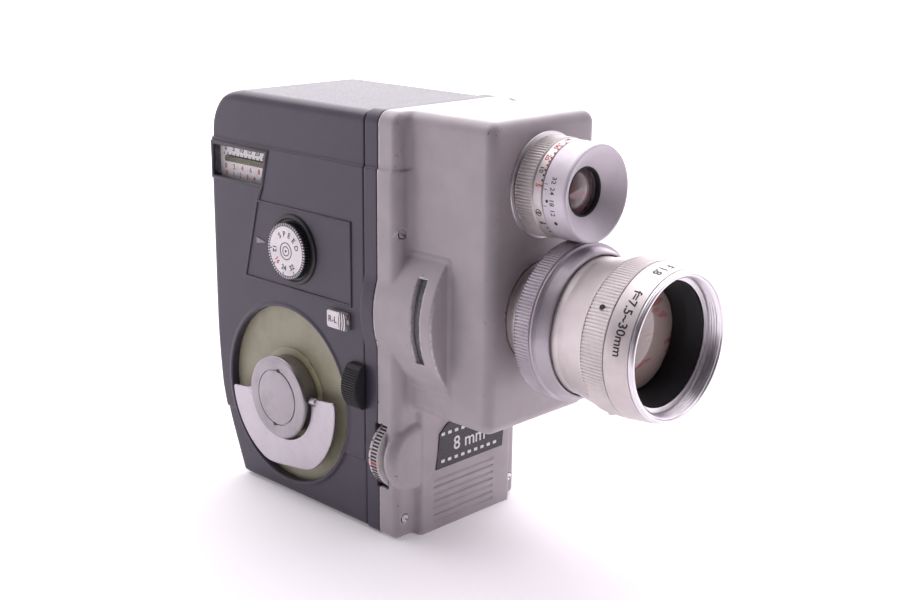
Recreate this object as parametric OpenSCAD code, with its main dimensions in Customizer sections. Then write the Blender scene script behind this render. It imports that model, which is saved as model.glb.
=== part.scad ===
// Spring-wound double-8 cine camera with a zoom lens, a light meter eye and a reflex finder.
// X runs across the body with the winding key on -X and the film door on +X.
// Y runs from the lens (-Y) to the eyepiece (+Y). Z is up.
// The origin is the mouth of the tripod socket in the base.

/* [Body] */
// Width across the two side faces
body_w = 53.4; // [53.4:0.1:54.4]
// Height from the base to the top
body_h = 130; // [130:0.5:132]
// Thickness of the casting and case walls
wall = 2; // [1.8:0.1:2.2]
// Radius of the long top edges
edge_r = 4; // [3:0.5:5]
// Height that the side band stands proud of the case
band_rise = 0.6; // [0.4:0.1:0.8]

/* [Winding key] */
// Radius of the round recess that the key lies in
recess_r = 28.8; // [28:0.1:29]
// Radius of the folding wing of the key
wing_r = 25.5; // [24.5:0.1:26]
// Radius of the round cap over the key hub
cap_r = 13.6; // [13:0.1:14]

/* [Lens] */
// Height of the lens axis above the base
lens_z = 74.3; // [74:0.1:74.6]
// Radius of the knurled focusing barrel
barrel_r = 21.9; // [21.5:0.1:22]
// Radius of the knurled zoom ring
zoom_r = 22.8; // [22.4:0.1:22.8]
// Radius of the plain bore that takes a screw-in filter
filter_r = 18.5; // [18:0.1:18.6]

/* [Meter eye] */
// Height of the meter eye axis above the base
eye_z = 111.1; // [111:0.1:111.4]
// Radius of the film speed ring
eye_r = 14.2; // [13.9:0.1:14.2]

/* [Film drive] */
// Radius of a film spool flange
spool_r = 25.4; // [25:0.1:25.4]
// Teeth on the mainspring barrel
barrel_teeth = 60; // [60:60:60]

/* [Hidden] */

$fn = 96;
tiny = 0.01;
gap = 0.3;
fit = 0.05;
half_w = body_w / 2;

// Stations along Y, from the rear face to the front of the lens
rear_y = 60;
strip_y = -14.25;
seam_y = -20;
flange_y = -27.5;
plate_y = -29.6;
block_y = -60;

// Heights and places on the side faces
band_low = 22.5;
band_high = 113.5;
block_low = 41;
block_left = -21.9;
block_right = 21.8;
key_y = 22.7;
key_z = 34.7;
dial_y = 18.3;
dial_z = 83.1;
wheel_x = -20;
wheel_z = 26.2;
wheel_r = 11.2;
wheel_slot = 10.2;
wheel_pivot_r = 1.9;
bulge_r = 29.1;
bulge_z = 70.5;
shell_x = -half_w + wall;

// Film chamber and gear train planes, as X positions
plate_x = -7.5;
plate_t = 2;
spool_y = 27;
low_spool_z = 32;
high_spool_z = 86;
spool_x = -5;
spool_w = 17.6;
flange_t = 0.8;

// Gear centres: each pair is set apart by the sum of its pitch radii
m_barrel = 0.8;
m_second = 0.6;
m_third = 0.5;
pinion_teeth = 12;
second_teeth = 58;
small_teeth = 10;
crown_teeth = 40;
second_a = 100;
second_c = m_barrel * (barrel_teeth + pinion_teeth) / 2;
second_y = key_y + second_c * cos(second_a);
second_z = key_z + second_c * sin(second_a);
crown_c = m_second * (second_teeth + small_teeth) / 2;
crown_z = 62;
crown_a = 180 - asin((crown_z - second_z) / crown_c);
crown_y = second_y + crown_c * cos(crown_a);
gov_c = m_third * (crown_teeth + small_teeth) / 2;
gov_a = 80;
gov_y = crown_y + gov_c * cos(gov_a);
gov_z = crown_z + gov_c * sin(gov_a);
cross_x = -15.2;
cross_teeth = 14;
shutter_teeth = 30;
shutter_x = cross_x + m_second * (cross_teeth + shutter_teeth) / 2;
shutter_y = -26.3;
spindle_r = 1.5;
gov_r = 1;
gate_y = -23;

// ---------- helpers ----------

// Stands a flat outline drawn in (Y, Z) up as a plate from x0 to x1
module slab(x0, x1) {
    translate([x0, 0, 0]) rotate([90, 0, 90]) linear_extrude(x1 - x0) children();
}

// Stands a flat outline drawn in (X, Z) up as a plate from y0 (rear) to y1 (front)
module curtain(y0, y1) {
    translate([0, y0, 0]) rotate([90, 0, 0]) linear_extrude(y0 - y1) children();
}

module rounded(w, h, r) {
    offset(r = r) square([w - 2 * r, h - 2 * r], center = true);
}

// Disc or rod with its axis along X
module rod_x(x0, x1, y, z, r) {
    translate([x0, y, z]) rotate([0, 90, 0]) cylinder(h = x1 - x0, r = r);
}

// Disc or rod with its axis along Y, from y0 (rear) to y1 (front)
module rod_y(y0, y1, x, z, r) {
    translate([x, y0, z]) rotate([90, 0, 0]) cylinder(h = y0 - y1, r = r);
}

module box(x0, x1, y0, y1, z0, z1) {
    translate([x0, y0, z0]) cube([x1 - x0, y1 - y0, z1 - z0]);
}

// Turns a profile of (radius, distance forward) about the lens axis or the eye axis
module turned(z) {
    translate([0, 0, z]) rotate([90, 0, 0]) rotate_extrude() children();
}

// Outline of a ring with straight grooves cut round it
module serrated(r, count, depth) {
    polygon([for (i = [0:count * 4 - 1])
        let (a = (i + 0.5) * 90 / count, s = i % 4 < 2 ? r : r - depth) [s * cos(a), s * sin(a)]]);
}

// Knurled disc with its axis along Y, from y0 (rear) to y1 (front)
module knurled_y(y0, y1, x, z, r, count, depth) {
    translate([x, 0, z]) curtain(y0, y1) serrated(r, count, depth);
}

// Tooth outline in polar steps: root, pitch and tip widths as shares of the tooth pitch
function gear_points(teeth, m) = [
    for (i = [0:teeth - 1], s = [[-0.36, -1.15], [-0.2, 0], [-0.1, 0.8], [0.1, 0.8], [0.2, 0], [0.36, -1.15]])
        let (a = (i + s[0]) * 360 / teeth, r = teeth * m / 2 + s[1] * m) [r * cos(a), r * sin(a)]
];

// Gear with its axis along X; turn sets which way its first tooth points in the YZ plane
module gear_x(x0, x1, y, z, teeth, m, turn) {
    translate([0, y, z]) slab(x0, x1) rotate(turn) polygon(gear_points(teeth, m));
}

// Gear with its axis along Y
module gear_y(y0, y1, x, z, teeth, m, turn) {
    translate([x, 0, z]) curtain(y0, y1) rotate(turn) polygon(gear_points(teeth, m));
}

// ---------- body castings ----------

heel_y = 57.5;
heel_z = 23.5;
foot_y = 48;

// Side view of the case, drawn in (Y, Z) and set in by d
module case_side(d) {
    offset(delta = -d) union() {
        polygon([[seam_y - 40, 0], [foot_y, 0], [heel_y, heel_z], [rear_y, 40], [rear_y, 100],
                 [seam_y - 40, 100]]);
        translate([seam_y - 40, 99]) square([rear_y - 15 - seam_y + 40, body_h - 99]);
        translate([rear_y - 15, 99]) square([15, body_h - 15 - 99]);
        translate([rear_y - 15, body_h - 15]) circle(15);
    }
}

// Front view of the body, drawn in (X, Z) and set in by d
module body_front(d) {
    translate([0, body_h / 2]) rounded(body_w - 2 * d, body_h - 2 * d, edge_r - d / 2);
}

module case_solid(d, y0, y1) {
    intersection() {
        slab(-half_w + d, half_w - d) case_side(d);
        curtain(y1, y0) body_front(d);
    }
}

// Band that stands proud of the winding side, drawn in (Y, Z)
module side_band(y0, y1) {
    translate([y0, band_low]) square([y1 - y0, band_high - band_low]);
}

window_low = [33.2, 100.8];
window_high = [30.1, 112];
window_rear = 58.4;

module counter_opening() {
    polygon([window_low, [window_rear, window_low[1]], [window_rear, window_high[1]], window_high]);
}

slant_low = [42.5, 70.5];
slant_high = [35.5, 96];
panel_front = -8.5;

module speed_panel_rim(w) {
    difference() {
        polygon([slant_low, [panel_front, 70.5], [panel_front, 96], slant_high]);
        offset(delta = -w)
            polygon([slant_low, [panel_front, 70.5], [panel_front, 96], slant_high]);
    }
}

door_y0 = -11.5;
door_y1 = 54;
door_z0 = 5;
door_z1 = 118;
door_t = 1.2;

module door_outline(d) {
    translate([(door_y0 + door_y1) / 2, (door_z0 + door_z1) / 2])
        rounded(door_y1 - door_y0 - 2 * d, door_z1 - door_z0 - 2 * d, 5);
}

// Keeps the door clear of the sloping heel
module heel_trim(d) {
    intersection() {
        door_outline(d);
        case_side(3 + d);
    }
}

hinge_x = half_w + 0.9;
hinge_y = -13;
hinge_pin_r = 0.6;
case_knuckles = [[20, 29.7], [50.3, 79.7], [100.3, 110]];
door_knuckles = [[30, 50], [80, 100]];

// One knuckle of the door hinge, with its web reaching back (-1) to the case or on (1) to the door
module hinge_knuckle(z0, z1, side) {
    difference() {
        union() {
            translate([hinge_x, hinge_y, z0]) cylinder(h = z1 - z0, r = 1.3);
            if (side < 0) box(half_w - 0.5, hinge_x, strip_y + 0.05, hinge_y, z0, z1);
            else box(half_w - 0.5, hinge_x, hinge_y, door_y0 + 0.5, z0, z1);
        }
        translate([hinge_x, hinge_y, z0 - 1]) cylinder(h = z1 - z0 + 2, r = hinge_pin_r + fit);
    }
}

finder_x = -12;
finder_z = 118.5;
tube_r = 5.2;
release_y = -11.65;
release_z = 46.4;

module rear_case() color([0.35, 0.33, 0.38]) difference() {
    union() {
        difference() {
            case_solid(0, strip_y, rear_y);
            case_solid(wall, strip_y - 1, rear_y - tiny);
        }
        for (z = case_knuckles) hinge_knuckle(z[0], z[1], -1);
        slab(-half_w - band_rise, -half_w + tiny) side_band(strip_y, rear_y - 1);
        slab(-half_w - band_rise - 0.5, -half_w) speed_panel_rim(0.7);
        difference() {
            rod_x(-half_w - band_rise - 0.3, -half_w, key_y, key_z, recess_r + 1.2);
            rod_x(-half_w - 2, -half_w + 1, key_y, key_z, recess_r);
        }
    }
    rod_x(-half_w - 2, shell_x + 1, key_y, key_z, recess_r);
    slab(-half_w - 2, shell_x + 1) counter_opening();
    rod_x(-half_w - 2, shell_x + 1, dial_y, dial_z, 9.4);
    slab(-half_w - 2, shell_x + 1) translate([lock_y, lock_z]) square([6, 2.6], center = true);
    slab(half_w - door_t - 0.1, half_w + 1) heel_trim(-gap);
    slab(half_w - wall - 1, half_w) heel_trim(2);
    for (z = door_knuckles)
        box(half_w - 0.9, half_w + 2, hinge_y - 1.6, door_y0, z[0] - gap / 2, z[1] + gap / 2);
    rod_y(rear_y + 1, rear_y - wall - 8, finder_x, finder_z, tube_r);
    box(-half_w - 3, shell_x + 1, release_y - 1.5, release_y + 1.5, release_z - 6.3, release_z + 3.3);
    box(-bush_r - fit, bush_r + fit, -bush_r - fit, bush_r + fit, -1, wall + 1);
}

module case_frame() color([0.33, 0.32, 0.37]) difference() {
    union() {
        case_solid(0, seam_y, strip_y);
        slab(-half_w - band_rise, -half_w + tiny) side_band(seam_y, strip_y);
        intersection() {
            rod_y(strip_y, seam_y, 0, bulge_z, bulge_r);
            box(-40, -half_w + 1, seam_y, strip_y, 50, 92);
        }
    }
    curtain(strip_y + 1, seam_y - 1) translate([0, body_h / 2])
        rounded(body_w - 2 * wall - 3, body_h - 2 * wall - 3, 3);
    box(-40, 0, wheel_y0 - 0.5, wheel_y1, wheel_z - wheel_slot, wheel_z + wheel_slot);
    rod_y(wheel_y1, wheel_y0, wheel_x, wheel_z, wheel_r + 0.5);
    for (p = screw_spots) rod_y(screw_end, seam_y - 1, p[0], p[1], screw_r + fit);
}

wheel_y0 = -24;
wheel_y1 = -18.9;

// Rounded block that carries the lens, from y0 (rear) to the front face, set in by d
module block_solid(d) {
    intersection() {
        curtain(seam_y - 0.5, block_y + d)
            translate([(block_left + block_right) / 2, (block_low + body_h) / 2])
            rounded(block_right - block_left - 2 * d, body_h - block_low - 2 * d, edge_r);
        translate([0, 0, block_low - 1]) linear_extrude(body_h)
            translate([(block_left + block_right) / 2, -30])
            rounded(block_right - block_left, 60, edge_r);
        slab(block_left - 1, block_right + 1) translate([-30, (block_low + body_h) / 2])
            rounded(60, body_h - block_low, edge_r);
    }
}

module front_housing() color([0.69, 0.66, 0.68]) difference() {
    union() {
        intersection() {
            curtain(seam_y, flange_y) body_front(0);
            translate([0, 0, -1]) linear_extrude(body_h + 2) translate([0, flange_y + 20])
                rounded(body_w, 40, 2.5);
        }
        slab(-half_w - band_rise, -half_w + tiny) side_band(flange_y + 2.5, seam_y);
        block_solid(0);
        intersection() {
            curtain(flange_y + 1, plate_y) translate([1.6, 30]) rounded(40, 60, 2);
            box(-19, 30, plate_y, 0, 0, 50);
        }
        intersection() {
            rod_y(seam_y, bulge_y, 0, bulge_z, bulge_r);
            box(-40, block_left + 1, bulge_y, seam_y, 50, 91);
        }
        intersection() {
            rod_y(wheel_y0 - 0.3, flange_y - 1.5, wheel_x, wheel_z, wheel_r - 0.4);
            translate([wheel_x, -14, wheel_z]) sphere(r = 16.6);
        }
    }
    difference() {
        box(-half_w + wall, half_w - wall, flange_y + wall, seam_y + 1, wall, body_h - wall);
        for (p = screw_spots) rod_y(seam_y, flange_y, p[0], p[1], 2.4);
        rod_y(seam_y, flange_y, wheel_x, wheel_z, wheel_pivot_r);
    }
    difference() {
        box(block_left + wall, block_right - wall, block_y + wall, seam_y, block_low + wall, body_h - wall);
        box(cross_x - 3, block_right, bridge_y, bridge_y + 2, crown_z - 4, crown_z + 3);
    }
    rod_y(seam_y, bridge_y - 1, shutter_x, crown_z, spindle_r + fit);
    intersection() {
        rod_y(seam_y + 1, bulge_y + wall, 0, bulge_z, bulge_r - 1.6);
        box(-40, block_left + wall + 1, bulge_y, seam_y + 1, 51, 90);
    }
    intersection() {
        rod_y(scale_y + 1.75, scale_y - 1.75, 0, bulge_z, 40);
        box(-40, -18, -60, 0, 59, 84);
    }
    rod_y(-50, block_y - 1, 0, lens_z, neck_r);
    rod_y(-50, block_y - 1, 0, eye_z, 9);
    box(-40, shell_x + 6, wheel_y0, seam_y + 1, wheel_z - wheel_slot, wheel_z + wheel_slot);
    rod_y(seam_y + 1, wheel_y0, wheel_x, wheel_z, wheel_r + 0.4);
    for (p = screw_spots) {
        rod_y(flange_y + 3, flange_y - 4, p[0], p[1], 1.3);
        rod_y(seam_y + 1, flange_y, p[0], p[1], screw_r + fit);
    }
    for (i = [0:6]) box(-13.2, 13.5, plate_y - 1, plate_y + 0.35, 2.6 + i * 2.3, 3 + i * 2.3);
}

bridge_y = -32;
bulge_y = -44;
lock_y = -3.7;
lock_z = 65.4;
screw_spots = [[-24.5, 95.3], [-23.2, 6.6], [24.5, 95.3], [23.4, 6.6]];
screw_r = 0.7;
screw_end = seam_y + 2;
scale_y = -37.5;
neck_r = 15.5;

module nameplate() color([0.2, 0.18, 0.2]) curtain(plate_y, plate_y - 0.4)
    polygon([[-12.3, 19.9], [17.3, 20], [18.6, 34], [-7.5, 34], [-10.8, 31.2]]);

module flange_screws() color([0.6, 0.6, 0.6]) for (p = screw_spots) difference() {
    union() {
        rod_y(flange_y + 2.9, flange_y - 0.1, p[0], p[1], 1.25);
        rod_y(screw_end, flange_y + 2.9, p[0], p[1], screw_r);
    }
    translate([p[0], flange_y, p[1]]) rotate([0, 35, 0]) cube([4, 1.2, 0.4], center = true);
}

bush_r = 6.4;

// Bush with the blind quarter-inch tripod thread; its square foot cannot turn in the case
module tripod_bush() color([0.7, 0.7, 0.7]) difference() {
    union() {
        box(-bush_r, bush_r, -bush_r, bush_r, 0, wall + 0.5);
        box(-bush_r - 2, bush_r + 2, -bush_r - 2, bush_r + 2, wall, wall + 1.5);
        cylinder(h = 9.5, r = bush_r);
    }
    translate([0, 0, -1]) cylinder(h = 9, r = 2.6);
}

// ---------- winding key ----------

key_tilt = -7;
hinge_out = -29.2;
wing_pin_r = 0.7;
arbor_r = 4;

module key_recess_plate() color([0.58, 0.57, 0.45]) difference() {
    rod_x(shell_x, shell_x + 1.2, key_y, key_z, recess_r + 0.9);
    rod_x(shell_x - 1, shell_x + 2, key_y, key_z, arbor_r + fit);
}

module key_collar() color([0.74, 0.72, 0.55]) difference() {
    rod_x(shell_x - 0.5, shell_x, key_y, key_z, 15);
    rod_x(shell_x - 1, shell_x + 1, key_y, key_z, arbor_r + fit);
}

// Places things that lie along the key's hinge line
module on_key() {
    translate([0, key_y, key_z]) rotate([key_tilt, 0, 0]) children();
}

module key_hub() color([0.62, 0.6, 0.62]) difference() {
    union() {
        rod_x(hinge_out - 1, shell_x - 0.8, key_y, key_z, cap_r - 0.9);
        rod_x(shell_x - 0.9, plate_x + 1.5, key_y, key_z, arbor_r);
    }
    on_key() translate([hinge_out, 20, 0]) rotate([90, 0, 0]) cylinder(h = 40, r = wing_pin_r + fit);
}

module key_cap() color([0.66, 0.65, 0.67]) difference() {
    union() {
        rod_x(-half_w - 5, hinge_out - 1, key_y, key_z, cap_r);
        rod_x(-half_w - 5.6, -half_w - 5, key_y, key_z, 8.9);
    }
    on_key() for (s = [-1, 1]) translate([-half_w - 6, -0.6, s * 8.3 - 0.6]) cube([1, 1.2, 1.2]);
}

// Folding half-round wing that the fingers turn
module key_wing() color([0.8, 0.78, 0.8]) on_key() difference() {
    union() {
        slab(hinge_out - 0.5, hinge_out + 0.5) intersection() {
            difference() {
                circle(wing_r);
                circle(cap_r + 0.7);
            }
            translate([-wing_r, -23.5]) square([2 * wing_r, 24.3]);
        }
        for (s = [-1, 1]) translate([hinge_out, s * 15.4 + 1.6, 0])
            rotate([90, 0, 0]) cylinder(h = 3.2, r = 1.3);
    }
    translate([hinge_out, 20, 0]) rotate([90, 0, 0]) cylinder(h = 40, r = wing_pin_r + fit);
}

module wing_pins() color([0.5, 0.5, 0.5]) on_key() for (s = [-1, 1])
    translate([hinge_out, s * 12.8 + 4, 0]) rotate([90, 0, 0]) cylinder(h = 8, r = wing_pin_r);

// ---------- speed dial, counter, lock and release ----------

face_x = -half_w - band_rise;

module speed_dial_seat() color([0.13, 0.13, 0.14]) difference() {
    union() {
        rod_x(face_x - 0.8, face_x, dial_y, dial_z, 11.1);
        rod_x(face_x, shell_x + 1, dial_y, dial_z, 9.35);
    }
    rod_x(face_x - 2, shell_x + 2, dial_y, dial_z, arbor_r + fit);
}

module speed_dial() color([0.12, 0.12, 0.13]) union() {
    translate([0, dial_y, dial_z]) slab(face_x - 2.6, face_x - 0.85) serrated(9, 60, 0.35);
    rod_x(face_x - 0.9, shell_x + 3, dial_y, dial_z, arbor_r);
}

module dial_face() color([0.8, 0.79, 0.8]) translate([0, dial_y, dial_z]) slab(face_x - 3, face_x - 2.6)
    serrated(8.8, 60, 0.35);

module dial_pointer() color([0.75, 0.74, 0.76])
    slab(face_x - 0.25, face_x) polygon([[36.5, 84.7], [31.2, 83.1], [36.5, 81.8]]);

scale_x = shell_x + fit;

module counter_scale() color([0.92, 0.9, 0.9]) difference() {
    box(scale_x, scale_x + 1, window_high[0] - 0.6, window_rear - 0.7, 99.8, 112.9);
    box(scale_x - 1, scale_x + 2, 33.6, 54.6, 106.9, 108.1);
}

module counter_window() color([0.9, 0.9, 0.95, 0.3])
    slab(-half_w + 0.3, -half_w + 1.1) offset(delta = -fit) counter_opening();

module counter_pointer() color([0.35, 0.33, 0.15]) union() {
    box(scale_x - 0.5, scale_x - 0.1, 34, 35.2, 105.6, 109.4);
    box(scale_x - 0.2, scale_x + 2.5, 34.1, 35.1, 107.1, 107.9);
}

module lock_slider() color([0.8, 0.8, 0.8]) difference() {
    union() {
        box(face_x - 1.9, face_x - 0.05, lock_y - 4.5, lock_y + 4.5, lock_z - 2.75, lock_z + 2.75);
        box(face_x - 0.1, shell_x + 1, lock_y - 1.5, lock_y + 1.5, lock_z - 1.2, lock_z + 1.2);
    }
    for (i = [0:3]) box(face_x - 2.5, face_x - 1.4, lock_y - 3.9 + i, lock_y - 3.4 + i, 60, 70);
}

release_w = 6.7;
release_r = 9.7;
release_x = face_x + 5.1;

// Curved side of the release button, drawn in (X, Z)
module release_side(d) {
    intersection() {
        translate([release_x, release_z]) circle(release_r - d);
        translate([face_x - 10, release_z - 6.9 + d]) square([9.95, 13.8 - 2 * d]);
    }
}

module release_button() color([0.1, 0.1, 0.11]) union() {
    difference() {
        curtain(release_y + release_w / 2, release_y - release_w / 2) release_side(0);
        for (i = [-7:7]) translate([release_x, release_y, release_z]) rotate([0, i * 5, 0])
            box(-release_r - 0.2, 0.3 - release_r, -release_w, release_w, -0.2, 0.2);
    }
    box(face_x - 0.1, shell_x + 3, release_y - 1.2, release_y + 1.2, release_z - 3, release_z + 3);
}

// ---------- aperture wheel and scale ----------

module aperture_wheel() color([0.88, 0.87, 0.88]) difference() {
    union() {
        knurled_y(-20.6, -23.7, wheel_x, wheel_z, wheel_r, 60, 0.4);
        rod_y(-19.3, -20.6, wheel_x, wheel_z, wheel_r - 0.6);
    }
    rod_y(-19, -24, wheel_x, wheel_z, wheel_pivot_r + fit);
}

// Half of an arc-shaped strip about the scale's axis
module scale_arc(y0, y1, r0, r1, half_angle) {
    translate([0, y0, bulge_z]) rotate([90, 0, 0]) rotate([0, 0, 180 - half_angle])
        rotate_extrude(angle = 2 * half_angle) translate([r0, 0]) square([r1 - r0, y0 - y1]);
}

module aperture_scale() color([0.9, 0.9, 0.88]) union() {
    scale_arc(-35.3, -39.7, 26.2, 26.9, 38);
    scale_arc(-39.2, -39.7, 19, 26.5, 12);
    scale_arc(-38.7, -40.2, 19, 20.6, 120);
}

module scale_window() color([0.9, 0.9, 0.95, 0.3]) intersection() {
    scale_arc(scale_y + 1.7, scale_y - 1.7, bulge_r - 1.4, bulge_r - 0.4, 40);
    box(-40, -18, -60, 0, 59.1, 83.9);
}

module iris_blades() color([0.2, 0.2, 0.22]) difference() {
    rod_y(-46, -46.8, 0, lens_z, bore_r - 0.1);
    rod_y(-45, -48, 0, lens_z, 3);
}

// ---------- meter eye ----------

eye_sleeve_r = 12;

module eye_base_ring() color([0.82, 0.8, 0.82]) turned(eye_z) difference() {
    union() {
        translate([0, 57.8]) square([8.9, 2.3]);
        translate([0, 60]) square([eye_r + 0.9, 0.6]);
        translate([0, 60.5]) square([eye_sleeve_r, 9.8]);
    }
    translate([0, 50]) square([8, 30]);
}

module film_speed_ring() color([0.82, 0.8, 0.82]) difference() {
    union() {
        knurled_y(-60.8, -67.2, 0, eye_z, eye_r, 90, 0.35);
        rod_y(-67.1, -70.3, 0, eye_z, eye_r - 0.35);
    }
    rod_y(-60, -71, 0, eye_z, eye_sleeve_r + fit);
}

module eye_hood() color([0.85, 0.83, 0.85]) turned(eye_z)
    polygon([[6.9, 66], [7.95, 66], [7.95, 70.5], [eye_r - 0.35, 70.5], [eye_r - 0.45, 78],
             [eye_r - 0.7, 78.5], [eye_r - 1.1, 78.5], [7.3, 74.2], [6.9, 74.2]]);

module eye_lens() color([0.15, 0.15, 0.2]) turned(eye_z) intersection() {
    translate([0, 70]) square([6.85, 4]);
    translate([0, 61.5]) circle(12);
}

module photocell() color([0.3, 0.3, 0.25]) rod_y(-66.2, -67.6, 0, eye_z, 6.85);

// ---------- lens ----------

sleeve_r = 16;
bore_r = 13;
throat_r = 12;

module lens_tube() color([0.75, 0.73, 0.75]) difference() {
    turned(lens_z) polygon([[9.05, 34], [15, 34], [15, 60], [throat_r + 1.6, 60], [throat_r + 1.6, 63],
        [sleeve_r, 63], [sleeve_r, 90], [bore_r, 90], [bore_r, 65.9], [throat_r, 65.9], [throat_r, 58],
        [bore_r, 58], [bore_r, 44], [9.05, 44]]);
    box(-3, 3, -57, -51, lens_z + 5, lens_z + 16);
}

module zoom_ring() color([0.82, 0.8, 0.82]) difference() {
    union() {
        knurled_y(-69.1, -75, 0, lens_z, zoom_r, 140, 0.35);
        turned(lens_z) polygon([[0, 74.9], [zoom_r - 0.1, 74.9], [zoom_r - 0.1, 75.6], [zoom_r - 1, 76],
            [20.8, 79.3], [20.4, 80], [0, 80]]);
    }
    rod_y(-69, -78, 0, lens_z, sleeve_r + fit);
    rod_y(-76.6, -81, 0, lens_z, 20);
}

module focus_barrel() color([0.85, 0.83, 0.85]) difference() {
    union() {
        turned(lens_z) polygon([[0, 77], [19.6, 77], [19.6, 82.5], [20.2, 84.5], [barrel_r - 0.4, 90.8],
            [barrel_r - 0.4, 91.8], [0, 91.8]]);
        knurled_y(-91.7, -99.2, 0, lens_z, barrel_r, 140, 0.3);
        turned(lens_z) polygon([[0, 99.1], [barrel_r - 0.1, 99.1], [barrel_r - 0.3, 101],
            [21, 106.6], [0, 106.6]]);
        focus_lug();
    }
    rod_y(-76, -100, 0, lens_z, sleeve_r + fit);
    rod_y(-90.4, -100, 0, lens_z, 17.5);
    rod_y(-99, -108, 0, lens_z, 19.6);
}

// Small finger lug under the focusing barrel
module focus_lug() {
    translate([0, -86.5, lens_z - 23.4]) cylinder(h = 5, r = 1.1);
}

module filter_ring() color([0.8, 0.78, 0.8]) difference() {
    turned(lens_z) polygon([[0, 99.3], [19.55, 99.3], [19.55, 106.65], [20.9, 106.65], [20.7, 107.6],
        [20.3, 108], [0, 108]]);
    rod_y(-103.6, -109, 0, lens_z, filter_r);
    rod_y(-99, -104, 0, lens_z, 17.3);
}

module front_baffle() color([0.05, 0.05, 0.05]) turned(lens_z)
    polygon([[17.25, 93], [17.25, 103], [16.9, 103.3], [15, 98.5], [15, 93]]);

module front_element() color([0.5, 0.4, 0.45]) turned(lens_z) intersection() {
    translate([0, 92]) square([14.6, 8]);
    translate([0, 58]) circle(39.6);
}

module variator_group() color([0.45, 0.42, 0.5]) turned(lens_z) difference() {
    translate([0, 66]) square([bore_r - fit, 6]);
    translate([0, 91.5]) circle(21);
    translate([0, 46.5]) circle(21);
}

module relay_element() color([0.5, 0.5, 0.55]) turned(lens_z) intersection() {
    translate([0, 36]) square([9, 6]);
    translate([0, 18]) circle(23.5);
}

// ---------- reflex finder ----------

module finder_prism_box() color([0.2, 0.2, 0.22]) union() {
    box(-17, 3.5, -57, -47, lens_z + 15.1, lens_z + 22);
    box(-17, -7, -57, -47, lens_z + 21, 124);
}

module finder_tube() color([0.3, 0.3, 0.32]) difference() {
    rod_y(rear_y - 0.5, -47, finder_x, finder_z, tube_r - fit);
    rod_y(rear_y + 1, -46, finder_x, finder_z, tube_r - 0.9);
}

module eyepiece_ring() color([0.12, 0.12, 0.12]) difference() {
    rod_y(rear_y + 4, rear_y - 2.5, finder_x, finder_z - 0.6, 8);
    rod_y(rear_y + 5, rear_y + 2.2, finder_x, finder_z - 0.6, 6.6);
    rod_y(rear_y + 5, rear_y - 5, finder_x, finder_z - 0.6, 4);
    case_solid(0, 0, rear_y);
    rod_y(rear_y - 0.4, rear_y - 5, finder_x, finder_z, tube_r);
}

module eyepiece_lens() color([0.6, 0.65, 0.7])
    translate([finder_x, 0, finder_z]) rotate([90, 0, 0]) rotate_extrude() intersection() {
        translate([0, -58.5]) square([tube_r - 1, 4]);
        translate([0, -47]) circle(11);
    }

// ---------- film door ----------

latch_y = 47;
latch_z = 66;
latch_r = 2.5;

module film_door() color([0.35, 0.33, 0.38]) difference() {
    union() {
        slab(half_w - door_t, half_w) heel_trim(0);
        for (z = door_knuckles) hinge_knuckle(z[0], z[1], 1);
    }
    rod_x(half_w - 3, half_w + 1, latch_y, latch_z, latch_r + fit);
}

module door_hinge_pin() color([0.6, 0.6, 0.6])
    translate([hinge_x, hinge_y, 20]) cylinder(h = 90, r = hinge_pin_r);

module door_latch() color([0.7, 0.7, 0.7]) union() {
    rod_x(half_w + 0.05, half_w + 1.6, latch_y, latch_z, 6);
    rod_x(half_w - 3, half_w + 0.1, latch_y, latch_z, latch_r);
    box(half_w - 3, half_w - 2.1, latch_y - 1.6, latch_y + 1.6, latch_z - 2, latch_z + 7.5);
    box(half_w + 1.5, half_w + 2.4, latch_y - 0.7, latch_y + 0.7, latch_z - 5, latch_z + 5);
}

// ---------- film drive ----------

pillars = [[-9, 14], [50, 62], [48, 93], [-9, 106]];
lug_y = -18;

module mechanism_plate() color([0.65, 0.63, 0.55]) difference() {
    union() {
        slab(plate_x, plate_x + plate_t) intersection() {
            translate([-18, 11]) square([72, 101]);
            case_side(3);
        }
        for (p = pillars) rod_x(shell_x + 0.05, plate_x + tiny, p[0], p[1], 2.2);
        box(cross_x - 3, plate_x + tiny, lug_y, lug_y + 2, crown_z - 4, crown_z + 4);
    }
    rod_y(lug_y + 3, lug_y - 1, cross_x, crown_z, spindle_r + fit);
    rod_x(plate_x - 1, plate_x + 3, key_y, key_z, arbor_r + fit);
    rod_x(plate_x - 1, plate_x + 3, second_y, second_z, spindle_r + fit);
    rod_x(plate_x - 1, plate_x + 3, crown_y, crown_z, spindle_r + fit);
    rod_x(plate_x - 1, plate_x + 3, gov_y, gov_z, gov_r + fit);
}

drum_r = 22.6;

module mainspring_barrel() color([0.75, 0.65, 0.4]) difference() {
    union() {
        rod_x(-21, -11.5, key_y, key_z, drum_r);
        gear_x(-11.6, -9.6, key_y, key_z, barrel_teeth, m_barrel, second_a);
    }
    rod_x(-22, -12.4, key_y, key_z, drum_r - 1);
    rod_x(-30, 0, key_y, key_z, arbor_r + fit);
}

// Coiled strip between the arbor and the barrel wall
spring_turns = 6;
spring_steps = 240;
spring_in = 5;
spring_out = drum_r - 1.6;

function spiral(i, d) =
    let (t = i / spring_steps, r = spring_in + (spring_out - spring_in) * t + d, a = 360 * spring_turns * t)
    [r * cos(a), r * sin(a)];

module mainspring() color([0.4, 0.42, 0.5]) translate([0, key_y, key_z]) slab(-20.6, -12.7)
    polygon(concat([for (i = [0:spring_steps]) spiral(i, 0)],
                   [for (i = [spring_steps:-1:0]) spiral(i, 0.5)]));

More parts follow.
